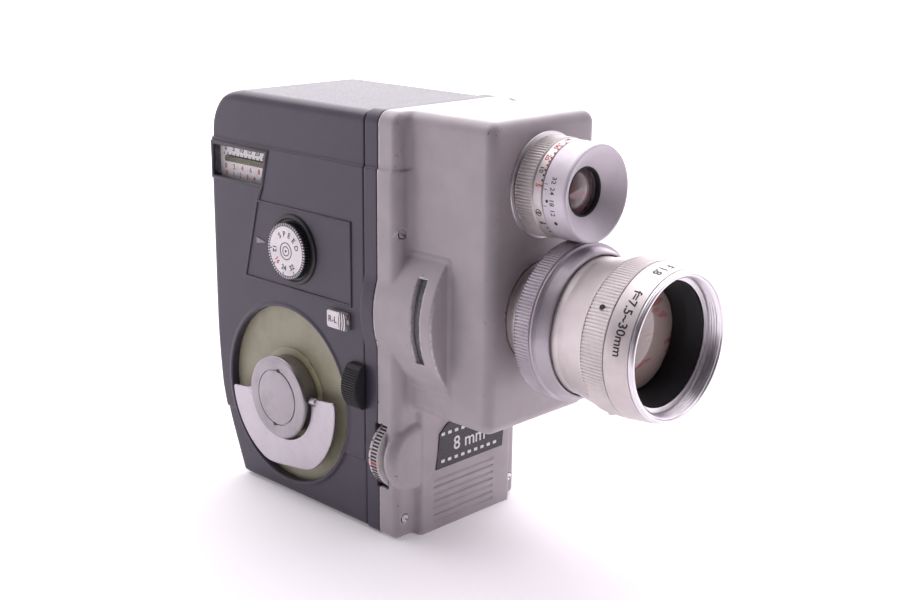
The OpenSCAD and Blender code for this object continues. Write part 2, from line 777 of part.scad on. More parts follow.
module intermediate_gear() color([0.75, 0.65, 0.4]) union() {
    gear_x(-11.6, -9.4, second_y, second_z, pinion_teeth, m_barrel, second_a + 180 + 180 / pinion_teeth);
    gear_x(-9.4, -8.2, second_y, second_z, second_teeth, m_second, crown_a);
    rod_x(-14, plate_x + plate_t, second_y, second_z, spindle_r);
}

module crown_wheel() color([0.75, 0.65, 0.4]) union() {
    gear_x(-9.5, -8, crown_y, crown_z, small_teeth, m_second, crown_a + 180 + 180 / small_teeth);
    gear_x(-11.4, -10.3, crown_y, crown_z, crown_teeth, m_third, gov_a);
    difference() {
        translate([0, crown_y, crown_z]) slab(-12.4, -11.3) serrated(9.4, 30, 1.6);
        rod_x(-13, -11.4, crown_y, crown_z, 6.5);
    }
    rod_x(-14, plate_x + plate_t, crown_y, crown_z, spindle_r);
    rod_x(-10.4, -9.4, crown_y, crown_z, 2.2);
}

module governor() color([0.72, 0.6, 0.35]) union() {
    gear_x(-11.6, -10.2, gov_y, gov_z, small_teeth, m_third, gov_a + 180 + 180 / small_teeth);
    rod_x(-20, plate_x + plate_t, gov_y, gov_z, gov_r);
    rod_x(-13.6, -12.6, gov_y, gov_z, 6);
    for (a = [0, 180]) translate([0, gov_y, gov_z]) rotate([a, 0, 0]) box(-18, -13.5, 1.4, 3.4, -1.5, 1.5);
    rod_x(-19.2, -18, gov_y, gov_z, 4);
}

module cross_shaft() color([0.72, 0.6, 0.35]) union() {
    knurled_y(crown_y - 7, crown_y - 9.5, cross_x, crown_z, 2.6, 12, 0.8);
    gear_y(-24.2, -25.3, cross_x, crown_z, cross_teeth, m_second, 0);
    rod_y(crown_y - 6, shutter_y + 0.5, cross_x, crown_z, spindle_r);
}

module shutter() color([0.3, 0.3, 0.33]) difference() {
    union() {
        rod_y(shutter_y + 0.25, shutter_y - 0.25, shutter_x, crown_z, 16);
        gear_y(-24.2, -25.3, shutter_x, crown_z, shutter_teeth, m_second, 180 + 180 / shutter_teeth);
        rod_y(-24.2, bridge_y + 0.2, shutter_x, crown_z, spindle_r);
    }
    translate([shutter_x, 0, crown_z]) rotate([0, -25, 0]) difference() {
        box(0, 20, shutter_y - 0.5, shutter_y + 0.5, -20, 20);
        rod_y(shutter_y + 1, shutter_y - 1, 0, 0, 9.6);
    }
}

module film_gate() color([0.7, 0.7, 0.72]) difference() {
    union() {
        box(-7, 15, gate_y - 0.6, gate_y, 56, 93);
        for (x = [-5.6, 12.3]) box(x, x + 1.2, gate_y - 0.1, gate_y + 1, 56, 93);
    }
    box(-2.45, 2.45, gate_y - 2, gate_y + 2, lens_z - 1.85, lens_z + 1.85);
    box(-3.9, -3, gate_y - 2, gate_y + 2, lens_z - 12, lens_z - 6);
}

module pressure_plate() color([0.6, 0.6, 0.62]) union() {
    box(-3.9, 11.9, gate_y + 0.25, gate_y + 1.1, 58, 91);
    box(2, 6, gate_y + 1, gate_y + 3.5, 71, 78);
}

module claw() color([0.55, 0.55, 0.58]) union() {
    box(-3.65, -3.25, gate_y - 0.8, gate_y + 0.15, lens_z - 11, lens_z - 10);
    box(-6.5, -3.1, gate_y - 1.1, gate_y - 0.7, lens_z - 13, lens_z - 7);
}

module spool(z) difference() {
    union() {
        for (x = [spool_x, spool_x + spool_w - flange_t]) rod_x(x, x + flange_t, spool_y, z, spool_r);
        rod_x(spool_x, spool_x + spool_w, spool_y, z, 8);
    }
    rod_x(spool_x - 1, spool_x + spool_w + 1, spool_y, z, arbor_r + fit);
    for (a = [0:120:240]) translate([0, spool_y, z]) rotate([a, 0, 0])
        rod_x(spool_x - 1, spool_x + spool_w + 1, 16, 0, 5);
}

module supply_spool() color([0.25, 0.25, 0.27]) spool(high_spool_z);

module takeup_spool() color([0.25, 0.25, 0.27]) spool(low_spool_z);

module spool_spindles() color([0.6, 0.6, 0.6]) for (z = [low_spool_z, high_spool_z]) {
    rod_x(plate_x + plate_t, 14, spool_y, z, arbor_r);
    rod_x(14, 15, spool_y, z, arbor_r - 0.6);
}

rear_case();
case_frame();
front_housing();
nameplate();
flange_screws();
tripod_bush();
key_recess_plate();
key_collar();
key_hub();
key_cap();
key_wing();
wing_pins();
speed_dial_seat();
speed_dial();
dial_face();
dial_pointer();
counter_scale();
counter_window();
counter_pointer();
lock_slider();
release_button();
aperture_wheel();
aperture_scale();
scale_window();
iris_blades();
eye_base_ring();
film_speed_ring();
eye_hood();
eye_lens();
photocell();
lens_tube();
zoom_ring();
focus_barrel();
filter_ring();
front_baffle();
front_element();
variator_group();
relay_element();
finder_prism_box();
finder_tube();
eyepiece_ring();
eyepiece_lens();
film_door();
door_hinge_pin();
door_latch();
mechanism_plate();
mainspring_barrel();
mainspring();
intermediate_gear();
crown_wheel();
governor();
cross_shaft();
shutter();
film_gate();
pressure_plate();
claw();
supply_spool();
takeup_spool();
spool_spindles();
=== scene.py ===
"""Looks of a spring-wound double-8 cine camera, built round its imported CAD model.

Sizes are in millimetres in the CAD frame (+Y to the eyepiece, -X to the winding key) until a mesh is made.
Rings about the lens and the meter eye use the distance forward of the origin, d = -y.
"""

import math

import bmesh
import bpy
import numpy as np
from mathutils import Matrix, Vector


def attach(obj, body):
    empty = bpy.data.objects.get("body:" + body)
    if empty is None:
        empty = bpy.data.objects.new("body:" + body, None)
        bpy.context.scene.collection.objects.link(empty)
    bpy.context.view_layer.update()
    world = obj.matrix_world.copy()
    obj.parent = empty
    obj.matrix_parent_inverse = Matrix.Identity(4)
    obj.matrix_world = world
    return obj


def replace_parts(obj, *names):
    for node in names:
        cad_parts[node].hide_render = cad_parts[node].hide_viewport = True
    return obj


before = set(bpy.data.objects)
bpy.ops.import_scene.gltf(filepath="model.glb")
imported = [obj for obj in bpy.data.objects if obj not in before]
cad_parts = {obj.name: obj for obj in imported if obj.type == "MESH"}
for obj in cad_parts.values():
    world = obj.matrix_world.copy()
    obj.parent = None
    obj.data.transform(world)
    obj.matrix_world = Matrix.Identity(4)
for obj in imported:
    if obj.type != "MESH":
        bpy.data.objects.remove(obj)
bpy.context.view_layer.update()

MM = 0.001
HALF_W = 26.7
HEIGHT = 130.0
REAR_Y = 60.0
STRIP_Y = -14.25
SEAM_Y = -20.0
FLANGE_Y = -27.5
PLATE_Y = -29.6
BLOCK_Y = -60.0
BLOCK_LOW = 41.0
BLOCK_LEFT, BLOCK_RIGHT = -21.9, 21.8
BAND_LOW, BAND_HIGH = 22.5, 113.5
BAND_RISE = 0.6
FACE_X = -HALF_W - BAND_RISE
WALL = 2.0
KEY_Y, KEY_Z = 22.7, 34.7
RECESS_R = 28.8
DIAL_Y, DIAL_Z = 18.3, 83.1
LENS_Z = 74.3
EYE_Z = 111.1
WHEEL_X, WHEEL_Z, WHEEL_R = -20.0, 26.2, 11.2
WHEEL_SLOT = 10.2
BULGE_R, BULGE_Z, BULGE_Y = 29.1, 70.5, -44.0
SLIT_Y = -37.5
LOCK_Y, LOCK_Z = -3.7, 65.4
RELEASE_Y, RELEASE_Z = -11.65, 46.4
WINDOW = [(33.2, 100.8), (58.4, 100.8), (58.4, 112.0), (30.1, 112.0)]
PANEL = [(42.5, 70.5), (-8.5, 70.5), (-8.5, 96.0), (35.5, 96.0)]
SCREW_SPOTS = [(-24.5, 95.3), (-23.2, 6.6), (24.5, 95.3), (23.4, 6.6)]
FINDER_X, FINDER_Z = -12.0, 118.5
AZIMUTH = math.radians(-45.59)


# ---------------------------------------------------------------- materials

class Shader:
    """Builds one material's nodes: every helper returns an output socket."""

    def __init__(self, name):
        self.material = bpy.data.materials.new(name)
        self.material.use_nodes = True
        self.tree = self.material.node_tree
        self.surface = self.tree.nodes["Principled BSDF"]
        self.place = self.add("ShaderNodeTexCoord").outputs["Object"]

    def add(self, kind, **inputs):
        node = self.tree.nodes.new(kind)
        for key, value in inputs.items():
            self.feed(node.inputs[key.replace("_", " ")], value)
        return node

    def feed(self, socket, value):
        if isinstance(value, bpy.types.NodeSocket):
            self.tree.links.new(value, socket)
        else:
            socket.default_value = value

    def set(self, **inputs):
        for key, value in inputs.items():
            self.feed(self.surface.inputs[key.replace("_", " ")], value)

    def stretched(self, scale):
        node = self.add("ShaderNodeMapping", Vector=self.place)
        node.inputs["Scale"].default_value = scale
        return node.outputs["Vector"]

    def noise(self, size_mm, detail=3.0, rough=0.55, stretch=(1, 1, 1)):
        node = self.add("ShaderNodeTexNoise", Vector=self.stretched(stretch),
                        Scale=1.0 / (size_mm * MM), Detail=detail, Roughness=rough)
        return node.outputs["Fac"]

    def ramp(self, value, low, high, start=0.0, end=1.0):
        node = self.add("ShaderNodeMapRange", Value=value)
        node.inputs["From Min"].default_value = low
        node.inputs["From Max"].default_value = high
        node.inputs["To Min"].default_value = start
        node.inputs["To Max"].default_value = end
        node.interpolation_type = "SMOOTHSTEP"
        return node.outputs["Result"]

    def math(self, operation, a, b=0.0):
        node = self.tree.nodes.new("ShaderNodeMath")
        node.operation = operation
        self.feed(node.inputs[0], a)
        self.feed(node.inputs[1], b)
        return node.outputs[0]

    def mix(self, factor, a, b):
        node = self.tree.nodes.new("ShaderNodeMix")
        node.data_type = "RGBA"
        self.feed(node.inputs["Factor"], factor)
        self.feed(node.inputs["A"], (*a, 1.0) if isinstance(a, tuple) else a)
        self.feed(node.inputs["B"], (*b, 1.0) if isinstance(b, tuple) else b)
        return node.outputs["Result"]

    def attribute(self, name):
        node = self.tree.nodes.new("ShaderNodeAttribute")
        node.attribute_name = name
        return node.outputs["Fac"]

    def axis_value(self, axis):
        node = self.add("ShaderNodeSeparateXYZ", Vector=self.place)
        return node.outputs[axis]

    def bump(self, height, distance_mm, strength=1.0, normal=None):
        node = self.add("ShaderNodeBump", Height=height, Strength=strength, Distance=distance_mm * MM)
        if normal is not None:
            self.feed(node.inputs["Normal"], normal)
        return node.outputs["Normal"]


def tone(colour, factor):
    return tuple(min(1.0, c * factor) for c in colour)


def enamel(name, colour, rough, bare, wrinkle, chips, wear=0.5):
    """Stoved enamel on a casting: fine wrinkle, soft blotches, chips and rubbed edges."""
    s = Shader(name)
    blotch = s.noise(14, 4)
    fine = s.noise(0.35, 3)
    worn = s.math("ADD", s.attribute("edge"), s.math("MULTIPLY", s.noise(1.3, 5, 0.7), 0.9))
    rubbed = s.ramp(worn, 1.35 - wear * 0.25, 1.55 - wear * 0.25)
    where = s.math("MULTIPLY", s.ramp(s.attribute("edge"), 0.2, 0.5), s.ramp(s.noise(16, 2), 0.52, 0.6))
    chip = s.math("MULTIPLY", s.ramp(s.noise(1.1, 2), chips, chips + 0.02), where)
    base = s.mix(s.ramp(blotch, 0.35, 0.65), tone(colour, 0.94), tone(colour, 1.06))
    base = s.mix(rubbed, base, bare)
    base = s.mix(chip, base, (0.035, 0.03, 0.035))
    s.set(Base_Color=base, Metallic=s.math("MULTIPLY", rubbed, 0.7),
          Roughness=s.ramp(fine, 0.3, 0.7, rough - 0.06, rough + 0.08))
    s.set(Normal=s.bump(fine, wrinkle, 0.8, s.bump(chip, -0.06)))
    s.set(IOR=1.5)
    return s.material


def turned_metal(name, colour, rough, axis="Y", grain=0.012, dirt=0.35, metal=1.0):
    """Lathe-turned satin metal with rings of tool marks along its axis, smudges and dulling."""
    s = Shader(name)
    stretch = {"X": (60, 1, 1), "Y": (1, 60, 1), "Z": (1, 1, 60)}[axis]
    rings = s.noise(7, 2, 0.5, stretch)
    smudge = s.noise(6, 5, 0.6)
    base = s.mix(s.ramp(smudge, 0.45, 0.75), colour, tone(colour, 1 - dirt * 0.4))
    base = s.mix(s.ramp(rings, 0.2, 0.8), tone(colour, 0.97), base)
    s.set(Base_Color=base, Metallic=metal, Roughness=s.ramp(smudge, 0.3, 0.8, rough - 0.05, rough + 0.12))
    s.set(Normal=s.bump(rings, grain, 0.6))
    return s.material


def brushed_metal(name, colour, rough, stretch=(1, 60, 1), dirt=0.5):
    """Flat metal brushed in one direction, with light scratches."""
    s = Shader(name)
    lines = s.noise(6, 3, 0.6, stretch)
    smudge = s.noise(9, 5, 0.65)
    scratch = s.ramp(s.noise(3, 2, 0.5, (1, 25, 4)), 0.68, 0.72)
    base = s.mix(s.ramp(smudge, 0.4, 0.75), colour, tone(colour, 1 - dirt * 0.4))
    base = s.mix(s.math("MULTIPLY", scratch, 0.35), base, tone(colour, 1.25))
    s.set(Base_Color=base, Metallic=1.0, Roughness=s.ramp(lines, 0.3, 0.7, rough - 0.06, rough + 0.08))
    s.set(Normal=s.bump(lines, 0.008, 0.5))
    return s.material


def plastic(name, colour, rough, grain=0.01):
    s = Shader(name)
    fine = s.noise(0.5, 3)
    dust = s.ramp(s.noise(3.5, 5, 0.7), 0.55, 0.8)
    s.set(Base_Color=s.mix(s.math("MULTIPLY", dust, 0.25), colour, tone(colour, 1.8)),
          Roughness=s.ramp(fine, 0.3, 0.7, rough - 0.05, rough + 0.07), Normal=s.bump(fine, grain, 0.6))
    return s.material


def flat_paint(name, colour, rough, dirty=0.25, speck=0.0):
    """Matt paint with drifting dirt, and sparse specks when asked."""
    s = Shader(name)
    drift = s.ramp(s.noise(11, 5, 0.65), 0.35, 0.75)
    base = s.mix(drift, colour, tone(colour, 1 - dirty))
    if speck:
        base = s.mix(s.ramp(s.noise(0.7, 2), 0.74, 0.78, 0.0, speck), base, (0.03, 0.03, 0.02))
    fine = s.noise(0.3, 3)
    s.set(Base_Color=base, Roughness=s.ramp(fine, 0.3, 0.7, rough - 0.05, rough + 0.08),
          Normal=s.bump(fine, 0.006, 0.5))
    return s.material


def ink(name, colour):
    """Printed or filled marks."""
    s = Shader(name)
    patchy = s.noise(0.25, 3)
    s.set(Base_Color=s.mix(s.ramp(patchy, 0.5, 0.8), colour, tone(colour, 1.6)),
          Roughness=s.ramp(patchy, 0.3, 0.7, 0.45, 0.6))
    return s.material


def lens_glass(name, tint, shine):
    """Coated optical glass: clear, with a faint tint and a little dust in its shine."""
    s = Shader(name)
    dust = s.ramp(s.noise(1.4, 5, 0.7), 0.6, 0.85)
    s.set(Base_Color=s.mix(dust, tint, tone(tint, 0.93)), Roughness=s.ramp(dust, 0.0, 1.0, 0.01, 0.09),
          Transmission_Weight=1.0, IOR=1.55)
    s.surface.inputs["Specular Tint"].default_value = (*shine, 1.0)
    return s.material


def front_glass(name, pale, deep, rose):
    """Coated front lens: brown tint, with a painted highlight on its pale left side and painted rose
    reflections in bands across it.
    """
    s = Shader(name)
    # painted reflection: rose bands mixed into the base colour
    painted_rose_reflection_mask = s.ramp(s.noise(2.6, 1, 0.4, (0.25, 1, 1)), 0.56, 0.64)
    # painted highlight: pale towards -X, fading into the brown tint towards +X
    painted_highlight_falloff = s.ramp(s.axis_value("X"), -0.014, -0.006)
    base = s.mix(painted_highlight_falloff, pale, deep)
    base = s.mix(s.math("MULTIPLY", painted_rose_reflection_mask, rose), base, (0.6, 0.14, 0.18))
    dust = s.noise(1.4, 5, 0.7)
    s.set(Base_Color=base, Roughness=s.ramp(dust, 0.5, 0.9, 0.02, 0.1), Transmission_Weight=0.3, IOR=1.6,
          Coat_Weight=0.6)
    return s.material


def window_pane(name, tint):
    """Thin clear pane that lets light straight through, with a faint film of dust."""
    s = Shader(name)
    dust = s.ramp(s.noise(2.5, 5, 0.7), 0.45, 0.85)
    s.set(Base_Color=s.mix(dust, tint, tone(tint, 0.85)), Roughness=s.ramp(dust, 0.0, 1.0, 0.03, 0.2),
          Alpha=s.ramp(dust, 0.0, 1.0, 0.04, 0.12))
    return s.material


CASE = (0.052, 0.043, 0.066)
SILVER = (0.44, 0.395, 0.415)
mat = {
    "case": enamel("case_enamel", CASE, 0.42, (0.3, 0.28, 0.31), 0.012, 0.9, -0.8),
    "case_bead": enamel("case_bead_enamel", tone(CASE, 0.85), 0.4, (0.5, 0.48, 0.5), 0.02, 0.9, 0.0),
    "silver": enamel("silver_enamel", SILVER, 0.42, (0.6, 0.58, 0.6), 0.012, 0.66, 0.1),
    "satin": turned_metal("satin_aluminium", (0.72, 0.67, 0.66), 0.5, grain=0.004, dirt=0.2, metal=0.75),
    "ring": turned_metal("zoom_ring_aluminium", (0.5, 0.46, 0.5), 0.48, grain=0.004, dirt=0.3, metal=0.75),
    "bright": turned_metal("bright_aluminium", (0.84, 0.81, 0.84), 0.36, grain=0.004),
    "funnel": turned_metal("funnel_aluminium", (0.74, 0.69, 0.75), 0.55, grain=0.004, dirt=0.15, metal=0.45),
    "key": brushed_metal("key_steel", (0.36, 0.335, 0.355), 0.4),
    "wing": brushed_metal("wing_plating", (0.48, 0.45, 0.48), 0.34, (1, 1, 40), 0.3),
    "khaki": flat_paint("khaki_enamel", (0.41, 0.395, 0.275), 0.4, 0.22, 0.4),
    "collar": flat_paint("collar_enamel", (0.56, 0.54, 0.33), 0.42, 0.2),
    "black": plastic("black_plastic", (0.022, 0.023, 0.025), 0.42),
    "rubber": plastic("eyecup_black", (0.018, 0.018, 0.019), 0.62, 0.02),
    "matt_black": flat_paint("matt_black_metal", (0.012, 0.012, 0.013), 0.6, 0.3),
    "pointer": flat_paint("pointer_paint", (0.33, 0.3, 0.31), 0.4),
    "plate": flat_paint("plate_enamel", (0.03, 0.026, 0.03), 0.3, 0.3),
    "white": flat_paint("white_scale_enamel", (0.93, 0.9, 0.9), 0.35, 0.06),
    "wheel": flat_paint("wheel_enamel", (0.8, 0.76, 0.77), 0.4, 0.25),
    "red": ink("red_ink", (0.55, 0.05, 0.035)),
    "ink": ink("black_ink", (0.02, 0.02, 0.022)),
    "white_ink": ink("white_ink", (0.8, 0.78, 0.78)),
    "olive": flat_paint("olive_pointer", (0.13, 0.11, 0.025), 0.5),
    "nickel": brushed_metal("nickel_plating", (0.72, 0.71, 0.72), 0.26, (40, 1, 1), 0.3),
    "steel": brushed_metal("machined_steel", (0.5, 0.5, 0.52), 0.34),
    "blued": brushed_metal("blued_spring", (0.12, 0.14, 0.22), 0.3),
    "brass": brushed_metal("machined_brass", (0.72, 0.52, 0.24), 0.32),
    "clear": window_pane("clear_window", (0.9, 0.92, 0.92)),
    # the front lens and the meter eye glass carry a painted highlight and painted rose reflections in their
    # base colour
    "front_glass": front_glass("coated_front_glass_painted_reflections", (0.86, 0.8, 0.77), (0.52, 0.41, 0.37), 0.7),
    "coated_rear": lens_glass("coated_rear_glass", (0.8, 0.72, 0.68), shine=(1.0, 0.5, 0.55)),
    "eye_glass": front_glass("smoked_eye_glass_painted_reflections", (0.3, 0.25, 0.25), (0.24, 0.17, 0.17), 0.35),
    "dial_silver": turned_metal("dial_face_silver", (0.6, 0.575, 0.585), 0.42, "X", 0.004, 0.15, 0.8),
    "scale_grey": flat_paint("aperture_scale_face", (0.25, 0.24, 0.25), 0.4, 0.3),
    "cell": flat_paint("photocell_face", (0.1, 0.07, 0.05), 0.25, 0.4),
}


# ---------------------------------------------------------------- mesh makers

def new_piece(name, body, materials, mesh):
    piece = bpy.data.objects.new(name, mesh)
    bpy.context.collection.objects.link(piece)
    for m in materials:
        mesh.materials.append(mat[m])
    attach(piece, body)
    return piece


def mesh_from(name, points_mm, faces, sharp_deg=35.0):
    mesh = bpy.data.meshes.new(name)
    mesh.from_pydata([tuple(c * MM for c in p) for p in points_mm], [], faces)
    mesh.validate()
    bm = bmesh.new()
    bm.from_mesh(mesh)
    bmesh.ops.recalc_face_normals(bm, faces=bm.faces)
    bm.to_mesh(mesh)
    bm.free()
    mesh.shade_smooth()
    mesh.set_sharp_from_angle(angle=math.radians(sharp_deg))
    return mesh


def fillet(points, steps=4):
    """Rounds the corners of a closed 2D outline: a point is (a, b) or (a, b, radius)."""
    out = []
    count = len(points)
    for i, point in enumerate(points):
        radius = point[2] if len(point) > 2 else 0.0
        here = Vector(point[:2])
        if not radius:
            out.append(tuple(here))
            continue
        before = (Vector(points[i - 1][:2]) - here)
        after = (Vector(points[(i + 1) % count][:2]) - here)
        angle = before.angle(after)
        reach = min(radius / math.tan(angle / 2), before.length * 0.49, after.length * 0.49)
        start, end = here + before.normalized() * reach, here + after.normalized() * reach
        for k in range(steps + 1):
            t = k / steps
            out.append(tuple(start * (1 - t) ** 2 + here * 2 * t * (1 - t) + end * t * t))
    return out


AXES = {
    "Y": lambda r, a, d: (r * math.cos(a), -d, r * math.sin(a)),
    "X": lambda r, a, d: (-d, r * math.cos(a), r * math.sin(a)),
    "Z": lambda r, a, d: (r * math.cos(a), r * math.sin(a), d),
}


def lathe(name, body, material, centre, profile, axis="Y", count=160, knurl=None, steps=4, sharp_deg=35.0):
    """Turns a closed (radius, forward distance) profile; knurl = (d0, d1, grooves, depth)."""
    outline = fillet(profile, steps=steps)
    if knurl:
        d0, d1, grooves, depth = knurl
        count = grooves * 6
        top = max(r for r, d in outline if d0 - 0.4 <= d <= d1 + 0.4)
        outline = densify(outline, d0, d1, top, depth)
    points = []
    for r, d in outline:
        for i in range(count):
            radius = r
            if knurl and d0 <= d <= d1 and r > top - depth * 1.5:
                phase = (i % 6) / 6
                radius = r - depth * (0.0, 0.0, 0.35, 1.0, 1.0, 0.35)[int(phase * 6)]
            points.append(AXES[axis](radius, 2 * math.pi * i / count, d))
    points = [tuple(c + o for c, o in zip(p, centre)) for p in points]
    rows = len(outline)
    closed = rows if min(r for r, d in outline) > 0.01 else rows - 1
    faces = []
    for j in range(closed):
        for i in range(count):
            a, b = j * count, (j + 1) % rows * count
            faces.append((a + i, a + (i + 1) % count, b + (i + 1) % count, b + i))
    mesh = mesh_from(name, points, faces, sharp_deg)
    bm = bmesh.new()
    bm.from_mesh(mesh)
    bmesh.ops.remove_doubles(bm, verts=bm.verts, dist=1e-7)
    bm.to_mesh(mesh)
    bm.free()
    return new_piece(name, body, [material], mesh)


def densify(outline, d0, d1, top, depth):
    """Adds the rows where the knurled band starts and ends."""
    out = []
    for i, (r, d) in enumerate(outline):
        out.append((r, d))
        r2, d2 = outline[(i + 1) % len(outline)]
        marks = [m for m in (d0 - 0.12, d0, d0 + 0.15, d1 - 0.15, d1, d1 + 0.12)
                 if min(d, d2) < m < max(d, d2) and min(r, r2) > top - depth]
        for m in sorted(marks, reverse=d2 < d):
            t = (m - d) / (d2 - d)
            out.append((r + (r2 - r) * t, m))
    return out


# ---------------------------------------------------------------- distance-field castings

def field_grid(low, high, step):
    sides = [np.arange(a, b + step, step) for a, b in zip(low, high)]
    return np.meshgrid(*sides, indexing="ij", sparse=True)


def box_field(p, low, high, r=0.0):
    q = [np.abs(c - (a + b) / 2) - (b - a) / 2 + r for c, a, b in zip(p, low, high)]
    outside = np.sqrt(sum(np.maximum(c, 0) ** 2 for c in q))
    return outside + np.minimum(np.maximum(np.maximum(q[0], q[1]), q[2]), 0) - r


def flat_box(a, b, low, high, r=0.0):
    """Rounded rectangle in two coordinates."""
    u = np.abs(a - (low[0] + high[0]) / 2) - (high[0] - low[0]) / 2 + r
    v = np.abs(b - (low[1] + high[1]) / 2) - (high[1] - low[1]) / 2 + r
    return np.sqrt(np.maximum(u, 0) ** 2 + np.maximum(v, 0) ** 2) + np.minimum(np.maximum(u, v), 0) - r


def both(a, b, r=0.0):
    """Intersection with a rounded edge."""
    if r == 0:
        return np.maximum(a, b)
    return np.minimum(-r, np.maximum(a, b)) + np.sqrt(np.maximum(a + r, 0) ** 2 + np.maximum(b + r, 0) ** 2)


def either(a, b, r=0.0):
    """Union with a filleted corner."""
    if r == 0:
        return np.minimum(a, b)
    return np.maximum(r, np.minimum(a, b)) - np.sqrt(np.maximum(r - a, 0) ** 2 + np.maximum(r - b, 0) ** 2)


def cut(a, b, r=0.0):
    return both(a, -b, r)


def round_bar(a, b, centre, radius):
    return np.sqrt((a - centre[0]) ** 2 + (b - centre[1]) ** 2) - radius


def polygon_field(a, b, corners):
    """Convex outline: corners run anticlockwise in (a, b)."""
    out = None
    for (a0, b0), (a1, b1) in zip(corners, corners[1:] + corners[:1]):
        length = math.hypot(a1 - a0, b1 - b0)
        side = ((a - a0) * (b1 - b0) - (b - b0) * (a1 - a0)) / length
        out = side if out is None else np.maximum(out, side)
    return out


CORNERS = [(i, j, k) for i in (0, 1) for j in (0, 1) for k in (0, 1)]
EDGES = [(m, n) for m in range(8) for n in range(m + 1, 8)
         if sum(abs(x - y) for x, y in zip(CORNERS[m], CORNERS[n])) == 1]


def surface_nets(values, low, step):
    """Points and quads of the zero surface of a sampled field."""
    inside = values < 0
    shape = [n - 1 for n in values.shape]
    piece = [tuple(slice(o, o + n) for o, n in zip(c, shape)) for c in CORNERS]
    count = sum(inside[s].astype(np.int8) for s in piece)
    cells = np.argwhere((count > 0) & (count < 8))
    corner = np.stack([values[tuple((cells + c).T)] for c in CORNERS], 1)
    total = np.zeros((len(cells), 3))
    hits = np.zeros(len(cells))
    for m, n in EDGES:
        a, b = corner[:, m], corner[:, n]
        crossing = (a < 0) != (b < 0)
        t = np.where(crossing, a / np.where(crossing, a - b, 1), 0)[:, None]
        where = np.array(CORNERS[m]) * (1 - t) + np.array(CORNERS[n]) * t
        total += where * crossing[:, None]
        hits += crossing
    points = (cells + total / hits[:, None]) * step + np.array(low)
    index = np.full(shape, -1, np.int64)
    index[tuple(cells.T)] = np.arange(len(cells))
    quads = []
    for axis in range(3):
        u, v = [i for i in range(3) if i != axis]
        here = [slice(1, n) for n in shape]
        here[axis] = slice(0, shape[axis])
        ahead = list(here)
        ahead[axis] = slice(1, shape[axis] + 1)
        first, second = inside[tuple(here)], inside[tuple(ahead)]
        spots = np.argwhere(first != second) + [0 if i == axis else 1 for i in range(3)]
        flip = first[tuple((spots - [0 if i == axis else 1 for i in range(3)]).T)]
        around = []
        for du, dv in ((0, 0), (-1, 0), (-1, -1), (0, -1)):
            cell = spots.copy()
            cell[:, u] += du
            cell[:, v] += dv
            around.append(index[tuple(cell.T)])
        quad = np.stack(around, 1)
        if axis == 1:
            flip = ~flip
        quad[flip] = quad[flip][:, ::-1]
        quads.append(quad)
    return points, np.concatenate(quads)


def cast(name, body, material, field, low, high, step, keep=1.0, replaces=()):
    """Meshes a distance field; stores how convex each point is in the attribute "edge"."""
    values = field(field_grid(low, high, step))
    points, quads = surface_nets(values, low, step)
    h = step * 0.5
    for _ in range(3):
        middle = field(points.T)
        slope = np.stack([field((points + np.eye(3)[i] * h).T) - field((points - np.eye(3)[i] * h).T)
                          for i in range(3)], 1) / (2 * h)
        points -= slope * (np.clip(middle, -step, step) / np.maximum((slope ** 2).sum(1), 0.2))[:, None] * 0.9
    spread = sum(field((points + np.eye(3)[i] * s).T) for i in range(3) for s in (-1, 1))
    convex = np.clip((spread - 6 * field(points.T)) * 0.9, 0, 1)
    mesh = bpy.data.meshes.new(name)
    mesh.vertices.add(len(points))
    mesh.vertices.foreach_set("co", (points * MM).astype(np.float32).ravel())
    mesh.loops.add(quads.size)
    mesh.loops.foreach_set("vertex_index", quads.astype(np.int32).ravel())
    mesh.polygons.add(len(quads))
    mesh.polygons.foreach_set("loop_start", np.arange(0, quads.size, 4, dtype=np.int32))
    mesh.update(calc_edges=True)
    edge = mesh.attributes.new("edge", "FLOAT", "POINT")
    edge.data.foreach_set("value", convex.astype(np.float32))
    mesh.validate()
    mesh.shade_smooth()
    piece = new_piece(name, body, [material], mesh)
    if keep < 1.0:
        thin = piece.modifiers.new("thin", "DECIMATE")
        thin.ratio = keep
    if replaces:
        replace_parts(piece, *replaces)
    return piece


# ---------------------------------------------------------------- the castings

def side_view(y, z):
    """Side outline of the whole body, running on past the front."""
    outline = flat_box(y, z, (-90.0, 0.0), (REAR_Y, HEIGHT), 15.0)
    lower_heel = (y - 48.0) * 0.927 - z * 0.375
    upper_heel = (y - 57.5) * 0.9887 - (z - 23.5) * 0.1498
    return both(both(outline, lower_heel, 1.5), upper_heel, 3.0)


def front_view(x, z):
    corner = np.where(z > HEIGHT / 2, 4.0, 2.2)
    return flat_box(x, z, (-HALF_W, 0.0), (HALF_W, HEIGHT), corner)


def body_field(p):
    x, y, z = p
    return both(side_view(y, z), front_view(x, z), 2.2)


def banded(p, field):
    """Adds the side band that stands proud of the winding side."""
    x, _, z = p
    band = both(field - BAND_RISE, np.abs(z - (BAND_LOW + BAND_HIGH) / 2) - (BAND_HIGH - BAND_LOW) / 2, 0.3)
    return either(field, np.maximum(band, x - 20.0), 0.25)


def door_outline(y, z, d):
    return both(flat_box(y, z, (-11.5 + d, 5.0 + d), (54.0 - d, 118.0 - d), 5.0), side_view(y, z) + 3.0 + d)


